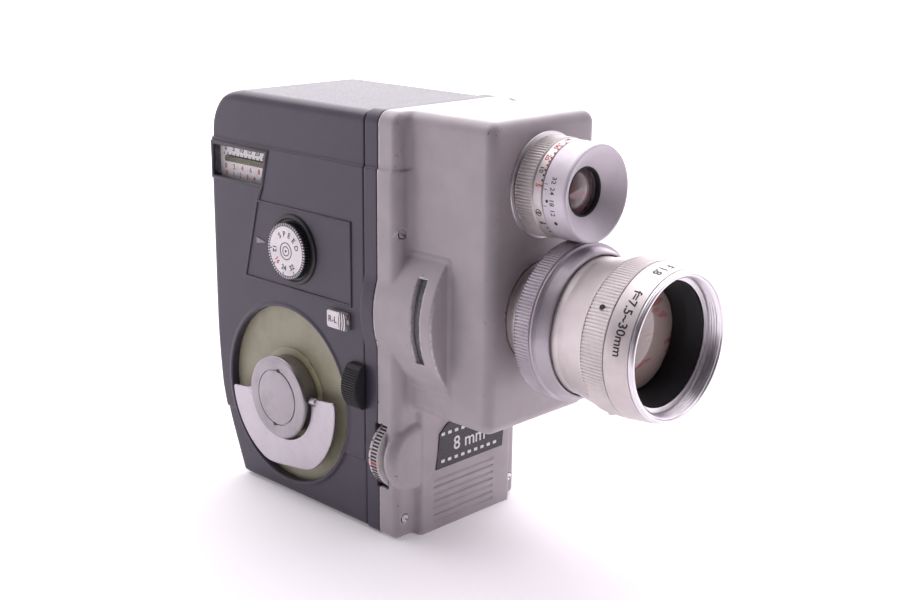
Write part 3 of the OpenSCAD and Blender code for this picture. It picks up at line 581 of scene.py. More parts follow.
def rear_case_field(p):
    x, y, z = p
    solid = body_field(p)
    shell = cut(banded(p, solid), solid + WALL)
    ring = both(round_bar(y, z, (KEY_Y, KEY_Z), RECESS_R + 1.3), FACE_X - 0.35 - x, 0.5)
    shell = either(shell, np.maximum(ring, x + HALF_W - 1), 0.2)
    side = x + 20.0
    shell = cut(shell, np.maximum(round_bar(y, z, (KEY_Y, KEY_Z), RECESS_R), side), 0.5)
    shell = cut(shell, np.maximum(polygon_field(y, z, WINDOW), side), 0.3)
    shell = cut(shell, np.maximum(round_bar(y, z, (DIAL_Y, DIAL_Z), 9.6), side))
    lock_slot = flat_box(y, z, (LOCK_Y - 3, LOCK_Z - 1.3), (LOCK_Y + 3, LOCK_Z + 1.3))
    shell = cut(shell, np.maximum(lock_slot, side))
    shell = cut(shell, np.maximum(flat_box(y, z, (RELEASE_Y - 1.5, 40.1), (RELEASE_Y + 1.5, 49.7)), side))
    shell = cut(shell, np.maximum(door_outline(y, z, -0.3), HALF_W - 1.3 - x))
    shell = cut(shell, np.maximum(door_outline(y, z, 2.0), 20.0 - x))
    shell = cut(shell, np.maximum(round_bar(x, z, (FINDER_X, FINDER_Z), 5.2), 40.0 - y))
    shell = cut(shell, np.maximum(round_bar(x, y, (0.0, 0.0), 6.45), z - 10.0))
    return both(shell, STRIP_Y + 0.08 - y, 0.35)


def case_frame_field(p):
    x, y, z = p
    solid = both(front_view(x, z), y - STRIP_Y - 10, 0.0)
    solid = banded(p, solid)
    bulge = np.maximum(round_bar(x, z, (0.0, BULGE_Z), BULGE_R), x + 20.0)
    solid = either(solid, bulge, 0.6)
    solid = cut(solid, flat_box(x, z, (-23.2, 3.5), (23.2, 126.5), 3.0))
    wheel = np.maximum(round_bar(x, z, (WHEEL_X, WHEEL_Z), WHEEL_R + 0.5), y + 18.9)
    slot = box_field(p, (-40.0, -30.0, WHEEL_Z - WHEEL_SLOT), (0.0, -18.9, WHEEL_Z + WHEEL_SLOT))
    solid = cut(cut(solid, wheel), slot)
    return both(both(solid, y - STRIP_Y + 0.08, 0.35), SEAM_Y - y, 0.2)


def housing_field(p):
    x, y, z = p
    rear = y - SEAM_Y
    flange = both(front_view(x, z), FLANGE_Y - y, 2.4)
    flange = banded(p, flange)
    block = both(flat_box(x, z, (BLOCK_LEFT, BLOCK_LOW), (BLOCK_RIGHT, HEIGHT), 3.6), BLOCK_Y - y, 3.2)
    lower = both(flat_box(x, z, (-18.6, -20.0), (21.7, 60.0), 2.0), PLATE_Y - y, 1.2)
    lower = np.maximum(lower, -z)
    solid = either(flange, lower, 1.2)
    solid = either(solid, block, 1.6)
    pedestal = box_field(p, (-22.35, -44.8, 49.8), (-10.0, -20.0, 90.4), 0.8)
    solid = either(solid, pedestal, 0.5)
    bulge = both(round_bar(x, z, (0.0, BULGE_Z), BULGE_R), BULGE_Y - y, 0.8)
    solid = either(solid, np.maximum(bulge, x + 15.0), 0.4)
    dome = both(round_bar(x, z, (WHEEL_X, WHEEL_Z), WHEEL_R - 0.5), np.maximum(-29.6 - y, y + 24.3), 3.0)
    solid = either(solid, dome, 0.6)
    solid = both(solid, rear, 0.2)
    solid = np.maximum(solid, np.maximum(-z, z - HEIGHT))
    for i in range(7):
        groove = box_field(p, (-13.2, PLATE_Y - 2, 2.55 + 2.3 * i), (13.5, PLATE_Y + 0.35, 3.1 + 2.3 * i))
        solid = cut(solid, groove, 0.15)
    hollow = np.minimum(box_field(p, (-24.7, -25.5, 2.0), (24.7, 0.0, 128.0), 1.0),
                        box_field(p, (BLOCK_LEFT + 2, BLOCK_Y + 2, 43.0), (BLOCK_RIGHT - 2, 0.0, 128.0), 1.0))
    inner_bulge = both(round_bar(x, z, (0.0, BULGE_Z), BULGE_R - 1.6), BULGE_Y + 2 - y)
    hollow = np.minimum(hollow, np.maximum(inner_bulge, x + 18.9))
    solid = cut(solid, hollow)
    slit = np.maximum(flat_box(y, z, (SLIT_Y - 1.75, 59.0), (SLIT_Y + 1.75, 84.0)), x + 18.0)
    solid = cut(solid, slit, 0.2)
    solid = cut(solid, np.maximum(round_bar(x, z, (0.0, LENS_Z), 15.5), y + 50.0))
    solid = cut(solid, np.maximum(round_bar(x, z, (0.0, EYE_Z), 9.0), y + 50.0))
    slot = box_field(p, (-40.0, -24.0, WHEEL_Z - WHEEL_SLOT), (-18.0, 0.0, WHEEL_Z + WHEEL_SLOT))
    solid = cut(solid, slot)
    solid = cut(solid, np.maximum(round_bar(x, z, (WHEEL_X, WHEEL_Z), WHEEL_R + 0.4), -24.0 - y))
    for spot in SCREW_SPOTS:
        solid = cut(solid, np.maximum(round_bar(x, z, spot, 1.45), y + 23.0), 0.2)
    return solid


COARSE = 1.0
cast("rear_case_shell", "body", "case", rear_case_field, (-29.0, -15.6, -1.2), (28.2, 62.0, 131.4),
     0.45 * COARSE, 0.35, ["rear_case"])
cast("case_frame_shell", "body", "case", case_frame_field, (-30.6, -21.2, -1.2), (28.2, -13.2, 131.4),
     0.4 * COARSE, 0.35, ["case_frame"])
cast("front_housing_shell", "body", "silver", housing_field, (-32.0, -61.4, -1.2), (28.2, -19.0, 131.4),
     0.42 * COARSE, 0.4, ["front_housing"])


# ---------------------------------------------------------------- more makers

def on_side(x, y, z, turn=0.0):
    """Place for a mark on the winding side: maps (right, up, out) to a point; turn is in degrees."""
    c, s = math.cos(math.radians(turn)), math.sin(math.radians(turn))
    return lambda u, v, w: (x - w, y - u * c + v * s, z + u * s + v * c)


def on_front(x, y, z):
    """Place for a mark on a face that looks forward."""
    return lambda u, v, w: (x + u, y - w, z + v)


def on_ring(centre, radius, d, angle, slope=0.0):
    """Place for a mark wrapped round a ring about a forward axis, its top facing forward."""
    def place(u, v, w):
        r = radius + slope * v + w
        a = math.radians(angle) + u / radius
        return (centre[0] + r * math.cos(a), -(d + v), centre[1] + r * math.sin(a))
    return place


def letters(text, size, bold=0.0):
    """Solid letters, flat in the (right, up) plane and centred on the origin."""
    curve = bpy.data.curves.new("letters", "FONT")
    curve.body = text
    curve.size = size
    curve.align_x = "CENTER"
    curve.align_y = "CENTER"
    curve.extrude = 0.02
    curve.offset = bold
    curve.resolution_u = 3
    holder = bpy.data.objects.new("letters", curve)
    bpy.context.collection.objects.link(holder)
    bpy.context.view_layer.update()
    mesh = bpy.data.meshes.new_from_object(holder)
    bpy.data.objects.remove(holder)
    return [tuple(v.co) for v in mesh.vertices], [tuple(p.vertices) for p in mesh.polygons]


def patch(outline, thick=0.04):
    """A thin solid patch with a flat outline."""
    n = len(outline)
    points = [(u, v, w) for w in (-thick / 2, thick / 2) for u, v in outline]
    sides = [(i, (i + 1) % n, n + (i + 1) % n, n + i) for i in range(n)]
    return points, [tuple(range(n))[::-1], tuple(range(n, 2 * n))] + sides


def bar(width, height, corner=0.0):
    w, h = width / 2, height / 2
    corners = [(-w, -h, corner), (w, -h, corner), (w, h, corner), (-w, h, corner)]
    return patch(fillet(corners) if corner else [c[:2] for c in corners])


def dot(radius, count=20):
    return patch([(radius * math.cos(2 * math.pi * i / count), radius * math.sin(2 * math.pi * i / count))
                  for i in range(count)])


def hoop(radius, width, count=64):
    """A thin flat ring."""
    points = [(r * math.cos(2 * math.pi * i / count), r * math.sin(2 * math.pi * i / count), w)
              for r, w in ((radius, 0.02), (radius + width, 0.02), (radius + width, -0.02), (radius, -0.02))
              for i in range(count)]
    faces = [(j * count + i, j * count + (i + 1) % count,
              (j + 1) % 4 * count + (i + 1) % count, (j + 1) % 4 * count + i)
             for j in range(4) for i in range(count)]
    return points, faces


def stamp(name, body, material, marks):
    """Joins marks, each ((points, faces), place), into one piece."""
    points, faces = [], []
    for (flat, polygons), place in marks:
        start = len(points)
        points += [place(*p) for p in flat]
        faces += [tuple(start + i for i in f) for f in polygons]
    return new_piece(name, body, [material], mesh_from(name, points, faces))


def bead(name, body, material, outline, x, width, height):
    """A rounded ridge on the winding side along a closed (y, z) outline with mitred corners."""
    section = [(-0.5, 0.0), (-0.46, 0.6), (-0.3, 0.9), (0.0, 1.0), (0.3, 0.9), (0.46, 0.6), (0.5, 0.0)]
    n = len(outline)
    points = []
    for i, corner in enumerate(outline):
        here = Vector(corner)
        before = (here - Vector(outline[i - 1])).normalized()
        after = (Vector(outline[(i + 1) % n]) - here).normalized()
        mitre = Vector((-before.y - after.y, before.x + after.x))
        mitre = mitre / (mitre.length_squared / 2)
        for across, out in section:
            spot = here + mitre * across * width
            points.append((x - out * height, spot.x, spot.y))
    m = len(section)
    faces = [(i * m + k, i * m + (k + 1) % m, (i + 1) % n * m + (k + 1) % m, (i + 1) % n * m + k)
             for i in range(n) for k in range(m)]
    return new_piece(name, body, [material], mesh_from(name, points, faces, 50))


def dress(node, material, bevel=0.0):
    """Gives a CAD node its material, and rounds its edges by a bevel in millimetres."""
    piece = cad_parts[node]
    piece.data.materials.clear()
    piece.data.materials.append(mat[material])
    if bevel:
        edges = piece.modifiers.new("edges", "BEVEL")
        edges.width = bevel * MM
        edges.segments = 2
        edges.limit_method = "ANGLE"
        edges.angle_limit = math.radians(40)


LENS = (0.0, 0.0, LENS_Z)
EYE = (0.0, 0.0, EYE_Z)
LENS_AXIS = (0.0, LENS_Z)
EYE_AXIS = (0.0, EYE_Z)


# ---------------------------------------------------------------- trim on the winding side

def winding_side_trim():
    bead("speed_panel_bead", "body", "case_bead", PANEL, FACE_X + 0.06, 0.8, 0.5)
    bead("counter_frame_bead", "body", "case_bead", WINDOW, FACE_X + 0.06, 1.3, 0.5)
    slant = [(33.5, 100.4), (35.5, 96.2), (34.9, 96.0), (32.9, 100.2)]
    bead("frame_to_panel_bead", "body", "case_bead", slant, FACE_X + 0.06, 0.6, 0.45)
    arrow = patch([(-2.3, -1.0), (2.4, 0.0), (-2.3, 1.0)], 0.3)
    stamp("pointer_mark", "body", "pointer", [(arrow, on_side(FACE_X - 0.12, 33.9, DIAL_Z + 0.1, -1))])
    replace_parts(bpy.data.objects["pointer_mark"], "dial_pointer")


def counter():
    """White footage scale behind the little window: black figures above the slot, red ones below it."""
    face = -24.67
    black = [(letters(str(5 * i), 2.6, 0.05), on_side(face, 54.8 - 4.1 * i, 110.3)) for i in range(7)]
    black += [(bar(0.36, 0.8), on_side(face, 55.8 - 2.05 * i, 108.3)) for i in range(12)]
    stamp("counter_figures", "body", "ink", black)
    lower = [(letters(str(2 * i), 2.3, 0.05), on_side(face, 55.0 - 4.3 * i, 104.3)) for i in range(6)]
    lower += [(letters(str(i), 2.1, 0.05), on_side(face, 54.6 - 3.6 * i, 101.9)) for i in range(7)]
    stamp("counter_red_figures", "body", "red", lower)
    stamp("counter_slot_strip", "body", "olive", [(bar(22.5, 1.7, 0.3), on_side(face - 0.02, 44.2, 106.7))])


def dial():
    """Knurled speed dial with a toothed silver face in a round seat."""
    centre = (0.0, DIAL_Y, DIAL_Z)
    seat = [(4.2, 26.4), (9.3, 26.4), (9.3, 27.32), (11.1, 27.32), (11.1, 27.8, 0.2), (10.75, 28.08, 0.2),
            (9.95, 28.08, 0.2), (9.6, 27.75), (4.2, 27.75)]
    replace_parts(lathe("speed_seat", "body", "black", centre, seat, "X", 120), "speed_dial_seat")
    knob = [(4.1, 28.2), (8.9, 28.2, 0.2), (9.0, 28.5), (9.0, 29.6, 0.1), (8.85, 29.85), (4.1, 29.85)]
    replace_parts(lathe("speed_knob", "dial", "black", centre, knob, "X", knurl=(28.4, 29.8, 60, 0.38)),
                "speed_dial")
    face = [(0.0, 29.8), (8.85, 29.8), (8.85, 30.05, 0.05), (8.75, 30.2, 0.1), (8.05, 30.22), (7.98, 30.14),
            (7.82, 30.14), (7.75, 30.22), (0.0, 30.24)]
    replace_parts(lathe("speed_face", "dial", "dial_silver", centre, face, "X", knurl=(29.82, 30.18, 60, 0.4)),
                "dial_face")
    x = -30.25

    def around(angle, radius, turn):
        a = math.radians(angle)
        return on_side(x, DIAL_Y - radius * math.cos(a), DIAL_Z + radius * math.sin(a), angle + turn)

    marks = [(letters(c, 2.4, 0.03), around(a, 5.3, -90)) for c, a in zip("SPEED", (122, 97, 72, 46, 19))]
    marks += [(letters(t, 2.3, 0.04), around(a, 5.5, 90)) for t, a in (("12", 180), ("24", 258), ("32", 300))]
    marks += [(bar(0.3, 0.8), around(a, 7.3, 90)) for a in (180, 219, 258, 300)]
    # painted shade: dark bars between the face's teeth stand in for the notches, where the black knob and
    # shade show through
    marks += [(bar(0.42, 0.75), around(6 * i + 3, 8.45, 90)) for i in range(60)]
    marks += [(hoop(r, 0.28), on_side(x, DIAL_Y, DIAL_Z)) for r in (1.3, 2.5)]
    marks += [(dot(0.4), on_side(x, DIAL_Y, DIAL_Z)), (hoop(7.82, 0.16), on_side(-30.16, DIAL_Y, DIAL_Z))]
    stamp("speed_marks_and_painted_notch_shade", "dial", "ink", marks)
    stamp("speed_red_mark", "dial", "red", [(letters("16", 2.3, 0.04), around(219, 5.5, 90))])


def key():
    """Winding key: turned hub and cap, and the folding half-round wing; its pale collar is dressed with the
    inner works.
    """
    centre = (0.0, KEY_Y, KEY_Z)
    hub = [(4.2, 25.5), (12.65, 25.5), (12.7, 25.8), (12.7, 29.7, 0.15), (12.3, 30.2), (4.2, 30.2)]
    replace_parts(lathe("key_drum", "key", "key", centre, hub, "X"), "key_hub")
    cap = [(0.0, 30.25), (12.9, 30.25), (13.0, 30.5), (13.55, 30.6, 0.1), (13.6, 30.75, 0.1),
           (13.6, 31.2, 0.2), (13.3, 31.62, 0.25), (12.8, 31.7, 0.2), (9.25, 31.8, 0.05), (9.2, 31.45),
           (8.95, 31.45), (8.9, 31.85, 0.05), (8.6, 31.95), (0.0, 32.0)]
    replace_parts(lathe("key_cap_turned", "key", "key", centre, cap, "X", sharp_deg=25), "key_cap")
    tilt = math.radians(-7)
    notches = [(bar(1.3, 1.5, 0.3), on_side(-31.9, KEY_Y + r * math.sin(tilt), KEY_Z + r * math.cos(tilt)))
               for r in (-9.0, 9.0)]
    stamp("key_notches", "key", "ink", notches)
    hinge_x = -29.2

    def wing_field(p):
        x, y, z = p
        u = (y - KEY_Y) * math.cos(tilt) + (z - KEY_Z) * math.sin(tilt)
        v = (z - KEY_Z) * math.cos(tilt) - (y - KEY_Y) * math.sin(tilt)
        flat = round_bar(u, v, (0, 0), 25.5)
        flat = both(flat, -23.5 - v, 1.5)
        flat = both(flat, v - 0.8, 0.8)
        flat = cut(flat, round_bar(u, v, (0, 0), 14.3), 0.5)
        plate = both(flat, np.abs(x - hinge_x) - 0.5, 0.3)
        ear = np.maximum(round_bar(x, v, (hinge_x, 0), 1.25), np.maximum(13.9 - np.abs(u), np.abs(u) - 17.0))
        return either(plate, ear, 0.4)

    cast("key_wing_plate", "wing", "wing", wing_field, (-31.2, -4.5, 6.5), (-27.4, 50.0, 41.0),
         0.24 * COARSE, 0.5, ["key_wing"])


def slider_and_release():
    """Run lock with its R-L plate, and the ribbed release button."""
    def slider_field(p):
        x, y, z = p
        sag = 0.05 * (z - LOCK_Z) ** 2
        body = both(both(np.abs(y - LOCK_Y) - 4.45, np.abs(z - LOCK_Z) - 2.75, 0.9), FACE_X - 1.85 - x, 0.3)
        body = np.maximum(body, x - FACE_X)
        ribs = np.abs((y - LOCK_Y + 4.45 - sag) % 1.05 - 0.25) - 0.25
        ribs = np.maximum(np.maximum(ribs, x - FACE_X + 0.9), y - LOCK_Y + 1.0)
        return cut(body, ribs, 0.1)

    cast("lock_plate", "lock", "dial_silver", slider_field, (-29.7, -9.2, 61.6), (-26.9, 1.8, 69.2),
         0.12 * COARSE, 0.6, ["lock_slider"])
    stamp("lock_marks", "lock", "ink",
          [(letters("R-L", 2.8, 0.02), on_side(FACE_X - 1.88, LOCK_Y + 1.7, LOCK_Z))])

    def release_field(p):
        x, y, z = p
        round_x = FACE_X + 5.1
        arc = round_bar(x, z, (round_x, RELEASE_Z), 9.7)
        side = both(both(arc, np.abs(z - RELEASE_Z) - 6.9, 0.5), x - FACE_X + 0.05)
        solid = both(side, np.abs(y - RELEASE_Y) - 3.35, 0.45)
        angle = np.arctan2(z - RELEASE_Z, round_x - x)
        pitch = math.radians(4.6)
        groove = np.abs((angle / pitch) % 1.0 - 0.5) * pitch * 9.7 - 0.14
        groove = np.maximum(np.maximum(groove, -arc - 0.35), np.abs(z - RELEASE_Z) - 5.8)
        return cut(solid, groove, 0.1)

    cast("release_rib_button", "release", "rubber", release_field, (-32.4, -15.6, 38.9), (-26.9, -7.7, 53.9),
         0.16 * COARSE, 0.6, ["release_button"])


# ---------------------------------------------------------------- aperture wheel and scale

def aperture_parts():
    centre = (WHEEL_X, 0.0, WHEEL_Z)
    marks, red_mark = 64, 33
    wheel = [(2.0, 19.4), (10.6, 19.4, 0.15), (10.6, 20.05, 0.15), (10.2, 20.2), (10.2, 20.65),
             (11.0, 20.75, 0.1), (11.15, 20.95), (11.15, 23.4, 0.2), (10.8, 23.68), (2.0, 23.68)]
    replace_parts(lathe("aperture_thumbwheel", "wheel", "wheel", centre, wheel, knurl=(21.1, 23.3, 64, 0.15)),
                "aperture_wheel")
    groove = [(10.0, 20.15), (10.35, 20.15), (10.35, 20.7), (10.0, 20.7)]
    lathe("wheel_groove", "wheel", "ink", centre, groove)
    axis = (WHEEL_X, WHEEL_Z)
    step = 360 / marks
    bars = [(bar(0.6, 2.5, 0.1), on_ring(axis, 11.17, 22.2, step * i)) for i in range(marks) if i != red_mark]
    stamp("wheel_marks", "wheel", "ink", bars)
    dashes = [(bar(0.4, 0.6), on_ring(axis, 10.61, 19.7, 15 * i)) for i in range(24)]
    stamp("wheel_dashes", "wheel", "ink", dashes)
    stamp("wheel_red_mark", "wheel", "red",
          [(bar(0.8, 2.4, 0.1), on_ring(axis, 11.18, 22.2, step * red_mark))])
    axis = (0.0, BULGE_Z)
    stops = [(letters(t, 2.1), on_ring(axis, 26.95, -SLIT_Y, 180 + 9 * (i - 2.5)))
             for i, t in enumerate(("1.8", "2.8", "4", "5.6", "8", "11"))]
    stamp("aperture_figures", "scale", "ink", stops)
    dress("aperture_scale", "scale_grey")
    dress("scale_window", "clear")


# ---------------------------------------------------------------- meter eye

def meter_eye():
    base = [(8.2, 59.9), (15.0, 59.9, 0.1), (15.1, 60.1), (15.1, 60.45, 0.2), (14.7, 60.6), (12.0, 60.6),
            (12.0, 70.25), (8.2, 70.25)]
    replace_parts(lathe("eye_base", "body", "bright", EYE, base), "eye_base_ring")
    ring = [(12.15, 60.85), (13.9, 60.85, 0.1), (14.18, 61.1), (14.18, 66.9, 0.1), (13.9, 67.15),
            (13.75, 67.3), (13.84, 67.45, 0.05), (13.84, 70.1, 0.12), (13.65, 70.28), (12.15, 70.28)]
    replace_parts(lathe("film_speed_knurl", "speed_ring", "satin", EYE, ring, knurl=(61.3, 66.8, 96, 0.34)),
                "film_speed_ring")
    hood = [(8.05, 66.2), (8.05, 70.52), (13.65, 70.52), (13.84, 70.7, 0.1), (13.75, 77.6, 0.5),
            (13.5, 78.42, 0.3), (12.9, 78.48, 0.25), (7.35, 74.3, 0.1), (7.0, 74.0), (6.95, 66.2)]
    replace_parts(lathe("eye_funnel", "body", "funnel", EYE, hood), "eye_hood")
    rim = [(6.3, 72.6), (6.9, 72.6), (6.9, 74.02), (6.6, 74.1, 0.1), (6.3, 73.6)]
    lathe("eye_glass_rim", "body", "matt_black", EYE, rim)
    face, figure_d, dot_d = 13.87, 68.6, 69.9

    def on_speed(d, angle, lift=0.0):
        return on_ring(EYE_AXIS, face + lift, d, angle)

    def on_hood(radius, d, angle):
        return on_ring(EYE_AXIS, radius, d, angle, -0.013)

    def figures(pairs):
        return [(letters(t, 2.0, 0.03), on_speed(figure_d, a)) for t, a in pairs]

    black = figures((("10", 150), ("50", 96), ("8", 214)))
    black += [(dot(0.32), on_speed(dot_d, a)) for a in (150, 156, 162, 214, 221, 228)]
    stamp("film_speed_figures", "speed_ring", "ink", black)
    red = figures((("5", 168), ("20", 134), ("100", 114)))
    red += [(dot(0.34), on_speed(dot_d, a)) for a in (168, 144, 139, 134, 127, 120, 114, 106)]
    stamp("film_speed_red_figures", "speed_ring", "red", red)
    hood_marks = [(letters(t, 2.1, 0.02), on_hood(13.8, 73.8, a))
                  for t, a in (("32", 160), ("24", 172), ("18", 185), ("12", 197))]
    hood_marks += [(bar(0.16, 1.1), on_hood(13.85, 71.5, a)) for a in (165, 171, 190)]
    hood_marks += [(dot(0.45), on_hood(13.84, 72.2, 184)), (dot(0.6), on_hood(13.8, 74.0, 211))]
    stamp("hood_figures", "body", "ink", hood_marks)
    spot = (68.8, 200)
    screw = [(dot(0.95, 28), on_speed(*spot)), (dot(0.8, 28), on_speed(*spot, 0.05))]
    stamp("speed_set_screw", "speed_ring", "ink",
          [(hoop(0.85, 0.2, 28), on_speed(*spot, 0.02)), (bar(0.4, 1.6), on_speed(*spot, 0.07))])
    stamp("speed_set_screw_head", "speed_ring", "nickel", screw)
    # eye glass with a painted highlight and painted rose reflections in its colour
    dress("eye_lens", "eye_glass")
    dress("photocell", "cell")


# ---------------------------------------------------------------- lens

def lens():
    tube = [(9.1, 34.0), (15.0, 34.0), (15.0, 59.9), (13.6, 60.0), (13.6, 63.0), (16.0, 63.0), (16.0, 90.0),
            (13.0, 90.0), (13.0, 66.0), (12.0, 65.9), (12.0, 58.0), (13.0, 57.9), (13.0, 44.0), (9.1, 44.0)]
    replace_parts(lathe("lens_tube_turned", "body", "satin", LENS, tube), "lens_tube")
    zoom = [(16.1, 69.15), (22.5, 69.15, 0.1), (22.77, 69.45, 0.1), (22.77, 74.6, 0.1), (22.4, 74.75),
            (22.4, 74.95), (22.65, 75.05, 0.1), (22.65, 75.55, 0.2), (21.8, 75.75, 0.15), (21.75, 76.1, 0.1),
            (21.6, 76.25, 0.1), (20.85, 79.2, 0.2), (20.6, 79.9, 0.15), (20.15, 79.95), (20.02, 79.8),
            (20.0, 76.65), (16.1, 76.65)]
    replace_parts(lathe("zoom_ring_turned", "zoom", "ring", LENS, zoom, knurl=(69.6, 74.5, 150, 0.34)),
                "zoom_ring")
    barrel = [(16.15, 77.05), (19.3, 77.05, 0.1), (19.6, 77.4), (19.6, 82.3, 1.5), (20.2, 84.6, 2.0),
              (21.3, 90.6, 0.8), (21.45, 91.45, 0.1), (21.3, 91.62), (21.3, 91.72), (21.85, 91.9, 0.05),
              (21.85, 99.0, 0.05),
              (21.35, 99.1), (21.35, 99.22), (21.75, 99.4, 0.1), (21.6, 101.0, 0.5), (21.0, 106.55, 0.2),
              (19.65, 106.55), (19.65, 99.3), (17.55, 99.3), (17.55, 90.5), (16.15, 90.5)]
    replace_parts(lathe("focus_barrel_turned", "focus", "satin", LENS, barrel, knurl=(92.0, 98.9, 140, 0.26)),
                "focus_barrel")
    lug = [(0.0, -24.3), (0.9, -24.3, 0.3), (1.1, -23.9), (1.1, -19.0), (0.0, -19.0)]
    lathe("focus_lug", "focus", "satin", (0.0, -86.5, LENS_Z), lug, "Z", 24)
    rim = [(17.4, 99.35), (19.5, 99.35), (19.5, 106.68), (20.85, 106.7, 0.05), (20.75, 107.2, 0.1),
           (20.55, 107.3), (20.5, 107.5, 0.1), (20.25, 107.95, 0.2), (19.7, 107.95, 0.2),
           (19.5, 107.5), (19.2, 107.45, 0.1)]
    rim += [(18.9 - 0.25 * (i % 2), 107.1 - 0.4 * i) for i in range(8)]
    rim += [(18.55, 103.7), (17.4, 103.4)]
    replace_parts(lathe("filter_thread_ring", "focus", "bright", LENS, rim, steps=3), "filter_ring")
    cone = [(17.2, 93.1), (17.2, 103.0), (16.95, 103.25)]
    cone += [(16.75 - 0.26 * i - 0.14 * (i % 2), 102.6 - 0.6 * i) for i in range(7)]
    cone += [(15.05, 98.4), (15.05, 93.1)]
    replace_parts(lathe("baffle_cone", "focus", "matt_black", LENS, cone), "front_baffle")
    stamp("barrel_set_screw", "focus", "ink", [(dot(0.8, 24), on_ring(LENS_AXIS, 21.88, 95.6, 146))])
    figures = [(letters(t, 3.6, 0.04), on_ring(LENS_AXIS, 21.42, 103.2, a, -0.107))
               for t, a in (("F 1.8", 98), ("f=7.5~30mm", 152))]
    stamp("lens_figures", "focus", "ink", figures)
    # front lens glass with a painted highlight and painted rose reflections in its colour
    dress("front_element", "front_glass")
    dress("variator_group", "coated_rear")
    dress("relay_element", "coated_rear")
    dress("iris_blades", "matt_black")


# ---------------------------------------------------------------- nameplate, screws and the rest

def front_trim():
    dress("nameplate", "plate", 0.1)
    y = PLATE_Y - 0.42
    strip = [(bar(1.5, 1.0, 0.25), on_front(-9.5 + 2.9 * i, y, 22.1)) for i in range(9)]
    strip += [(bar(1.5, 1.0, 0.25), on_front(-9.5 + 2.9 * i, y, 30.9)) for i in range(9)]
    strip += [(letters("8 mm", 6.2, 0.05), on_front(2.2, y, 26.4))]
    stamp("nameplate_motif", "body", "white_ink", strip)
    dress("flange_screws", "nickel", 0.08)
    dress("tripod_bush", "nickel", 0.2)


def rear_trim():
    dress("eyepiece_ring", "rubber", 0.3)
    dress("eyepiece_lens", "clear")
    dress("film_door", "case", 0.3)
    dress("door_hinge_pin", "key", 0.1)
    dress("door_latch", "key", 0.25)


def inner_works():
    for node in ("mainspring_barrel", "intermediate_gear", "crown_wheel", "governor", "cross_shaft"):
        dress(node, "brass")
    for node in ("mechanism_plate", "film_gate", "pressure_plate", "claw", "spool_spindles", "wing_pins"):
        dress(node, "steel")
    for node in ("finder_prism_box", "finder_tube", "shutter", "supply_spool", "takeup_spool"):
        dress(node, "matt_black")
    dress("mainspring", "blued")
    dress("key_recess_plate", "khaki")
    dress("key_collar", "collar", 0.15)
    dress("counter_scale", "white")
    dress("counter_window", "clear")
    dress("counter_pointer", "olive")


winding_side_trim()
counter()
dial()
key()
slider_and_release()
aperture_parts()
meter_eye()
lens()
front_trim()
rear_trim()
inner_works()

# ---------------------------------------------------------------- stage, light and camera

def area_light(name, place, target, size, power):
    lamp = bpy.data.lights.new(name, "AREA")
    lamp.shape = "RECTANGLE"
    lamp.size, lamp.size_y = size
    lamp.energy = power
    light = bpy.data.objects.new(name, lamp)
    light.location = Vector(place)
    light.rotation_euler = (Vector(target) - Vector(place)).to_track_quat("-Z", "Y").to_euler()
    bpy.context.collection.objects.link(light)
    return light


def make_camera():
    """Camera from the photograph's perspective: place, azimuth, elevation, roll and focal length."""
    azimuth, elevation, roll = AZIMUTH, math.radians(15.68), math.radians(0.58)
    right = Vector((math.cos(azimuth), math.sin(azimuth), 0))
    back = Vector((math.sin(azimuth) * math.cos(elevation), -math.cos(azimuth) * math.cos(elevation),
                   math.sin(elevation)))
    up = back.cross(right)
    right, up = right * math.cos(roll) + up * math.sin(roll), up * math.cos(roll) - right * math.sin(roll)
    data = bpy.data.cameras.new("camera")
    data.sensor_width = 36.0
    data.lens = 55.26
    camera = bpy.data.objects.new("camera", data)
    turn = Matrix((right, up, back)).transposed().to_4x4()
    camera.matrix_world = Matrix.Translation(Vector((-289.8, -306.9, 184.0)) * MM) @ turn
    bpy.context.collection.objects.link(camera)
    bpy.context.scene.camera = camera


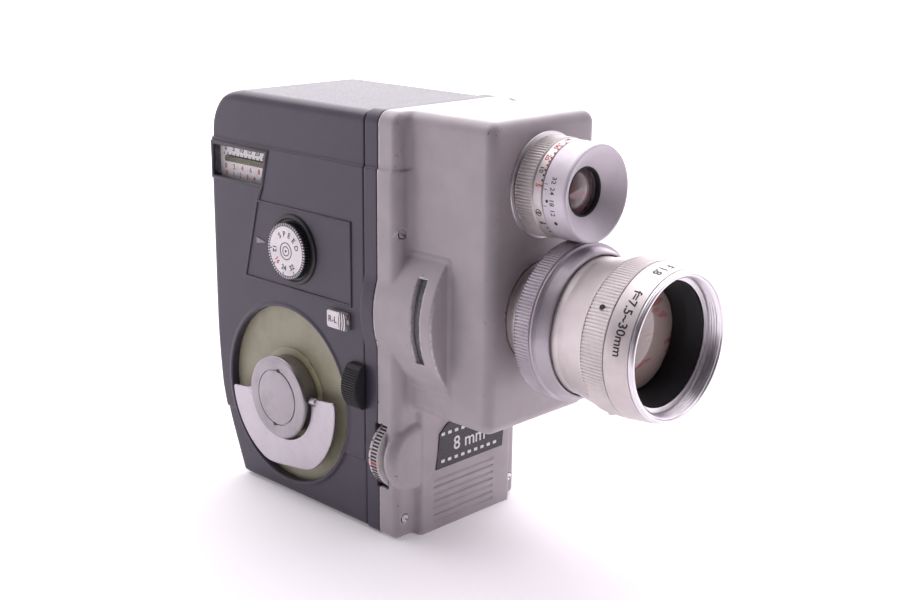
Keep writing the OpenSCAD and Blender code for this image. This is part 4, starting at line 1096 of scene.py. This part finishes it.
def make_stage():
    """Pale sweep that ends behind the camera's side, a soft light behind and above, and a bright backdrop."""
    ahead = Vector((math.sin(AZIMUTH), -math.cos(AZIMUTH)))
    across = Vector((-ahead.y, ahead.x))
    corners = [ahead * a + across * b for a, b in ((0.36, -9), (0.36, 9), (-9, 9), (-9, -9))]
    floor_mesh = bpy.data.meshes.new("floor")
    floor_mesh.from_pydata([(c.x, c.y, 0) for c in corners], [], [(0, 1, 2, 3)])
    floor = bpy.data.objects.new("floor", floor_mesh)
    bpy.context.collection.objects.link(floor)
    s = Shader("floor_paper")
    far = s.add("ShaderNodeVectorMath", Vector=s.place)
    far.operation = "LENGTH"
    paper = s.mix(s.ramp(s.noise(60, 2), 0.3, 0.7), (0.93, 0.9, 0.935), (0.95, 0.925, 0.95))
    s.set(Base_Color=paper, Roughness=0.9)
    glow = s.ramp(far.outputs["Value"], 0.2, 0.9, 0.2, 0.9)
    s.set(Emission_Color=(1.0, 0.98, 1.0, 1.0), Emission_Strength=glow)
    floor_mesh.materials.append(s.material)
    bpy.context.scene.world = studio_world()
    bpy.context.scene.view_settings.view_transform = "Standard"
    area_light("key_light", (0.22, 0.34, 1.05), (0, 0, 0.03), (1.5, 1.5), 12.5)
    area_light("backdrop_light", (0.95, 0.95, 0.42), (0, 0, 0.1), (1.6, 0.8), 9.0)


def studio_world():
    """Lavender-white surroundings, dark towards the winding side and front; white where they are seen."""
    world = bpy.data.worlds.new("studio")
    world.use_nodes = True
    tree = world.node_tree
    back = tree.nodes["Background"]
    direction = tree.nodes.new("ShaderNodeTexCoord")
    towards = tree.nodes.new("ShaderNodeVectorMath")
    towards.operation = "DOT_PRODUCT"
    towards.inputs[1].default_value = (-0.686, -0.674, 0.27)
    tree.links.new(direction.outputs["Generated"], towards.inputs[0])
    falloff = tree.nodes.new("ShaderNodeMapRange")
    falloff.interpolation_type = "SMOOTHSTEP"
    tree.links.new(towards.outputs["Value"], falloff.inputs["Value"])
    falloff.inputs["From Min"].default_value = -0.1
    falloff.inputs["From Max"].default_value = 0.6
    shade = tree.nodes.new("ShaderNodeMix")
    shade.data_type = "RGBA"
    shade.inputs["A"].default_value = (1.25, 1.13, 1.25, 1.0)
    shade.inputs["B"].default_value = (0.06, 0.054, 0.062, 1.0)
    tree.links.new(falloff.outputs["Result"], shade.inputs["Factor"])
    seen = tree.nodes.new("ShaderNodeLightPath")
    final = tree.nodes.new("ShaderNodeMix")
    final.data_type = "RGBA"
    final.inputs["B"].default_value = (1.0, 1.0, 1.0, 1.0)
    tree.links.new(shade.outputs["Result"], final.inputs["A"])
    tree.links.new(seen.outputs["Is Camera Ray"], final.inputs["Factor"])
    tree.links.new(final.outputs["Result"], back.inputs["Color"])
    return world


make_camera()
make_stage()
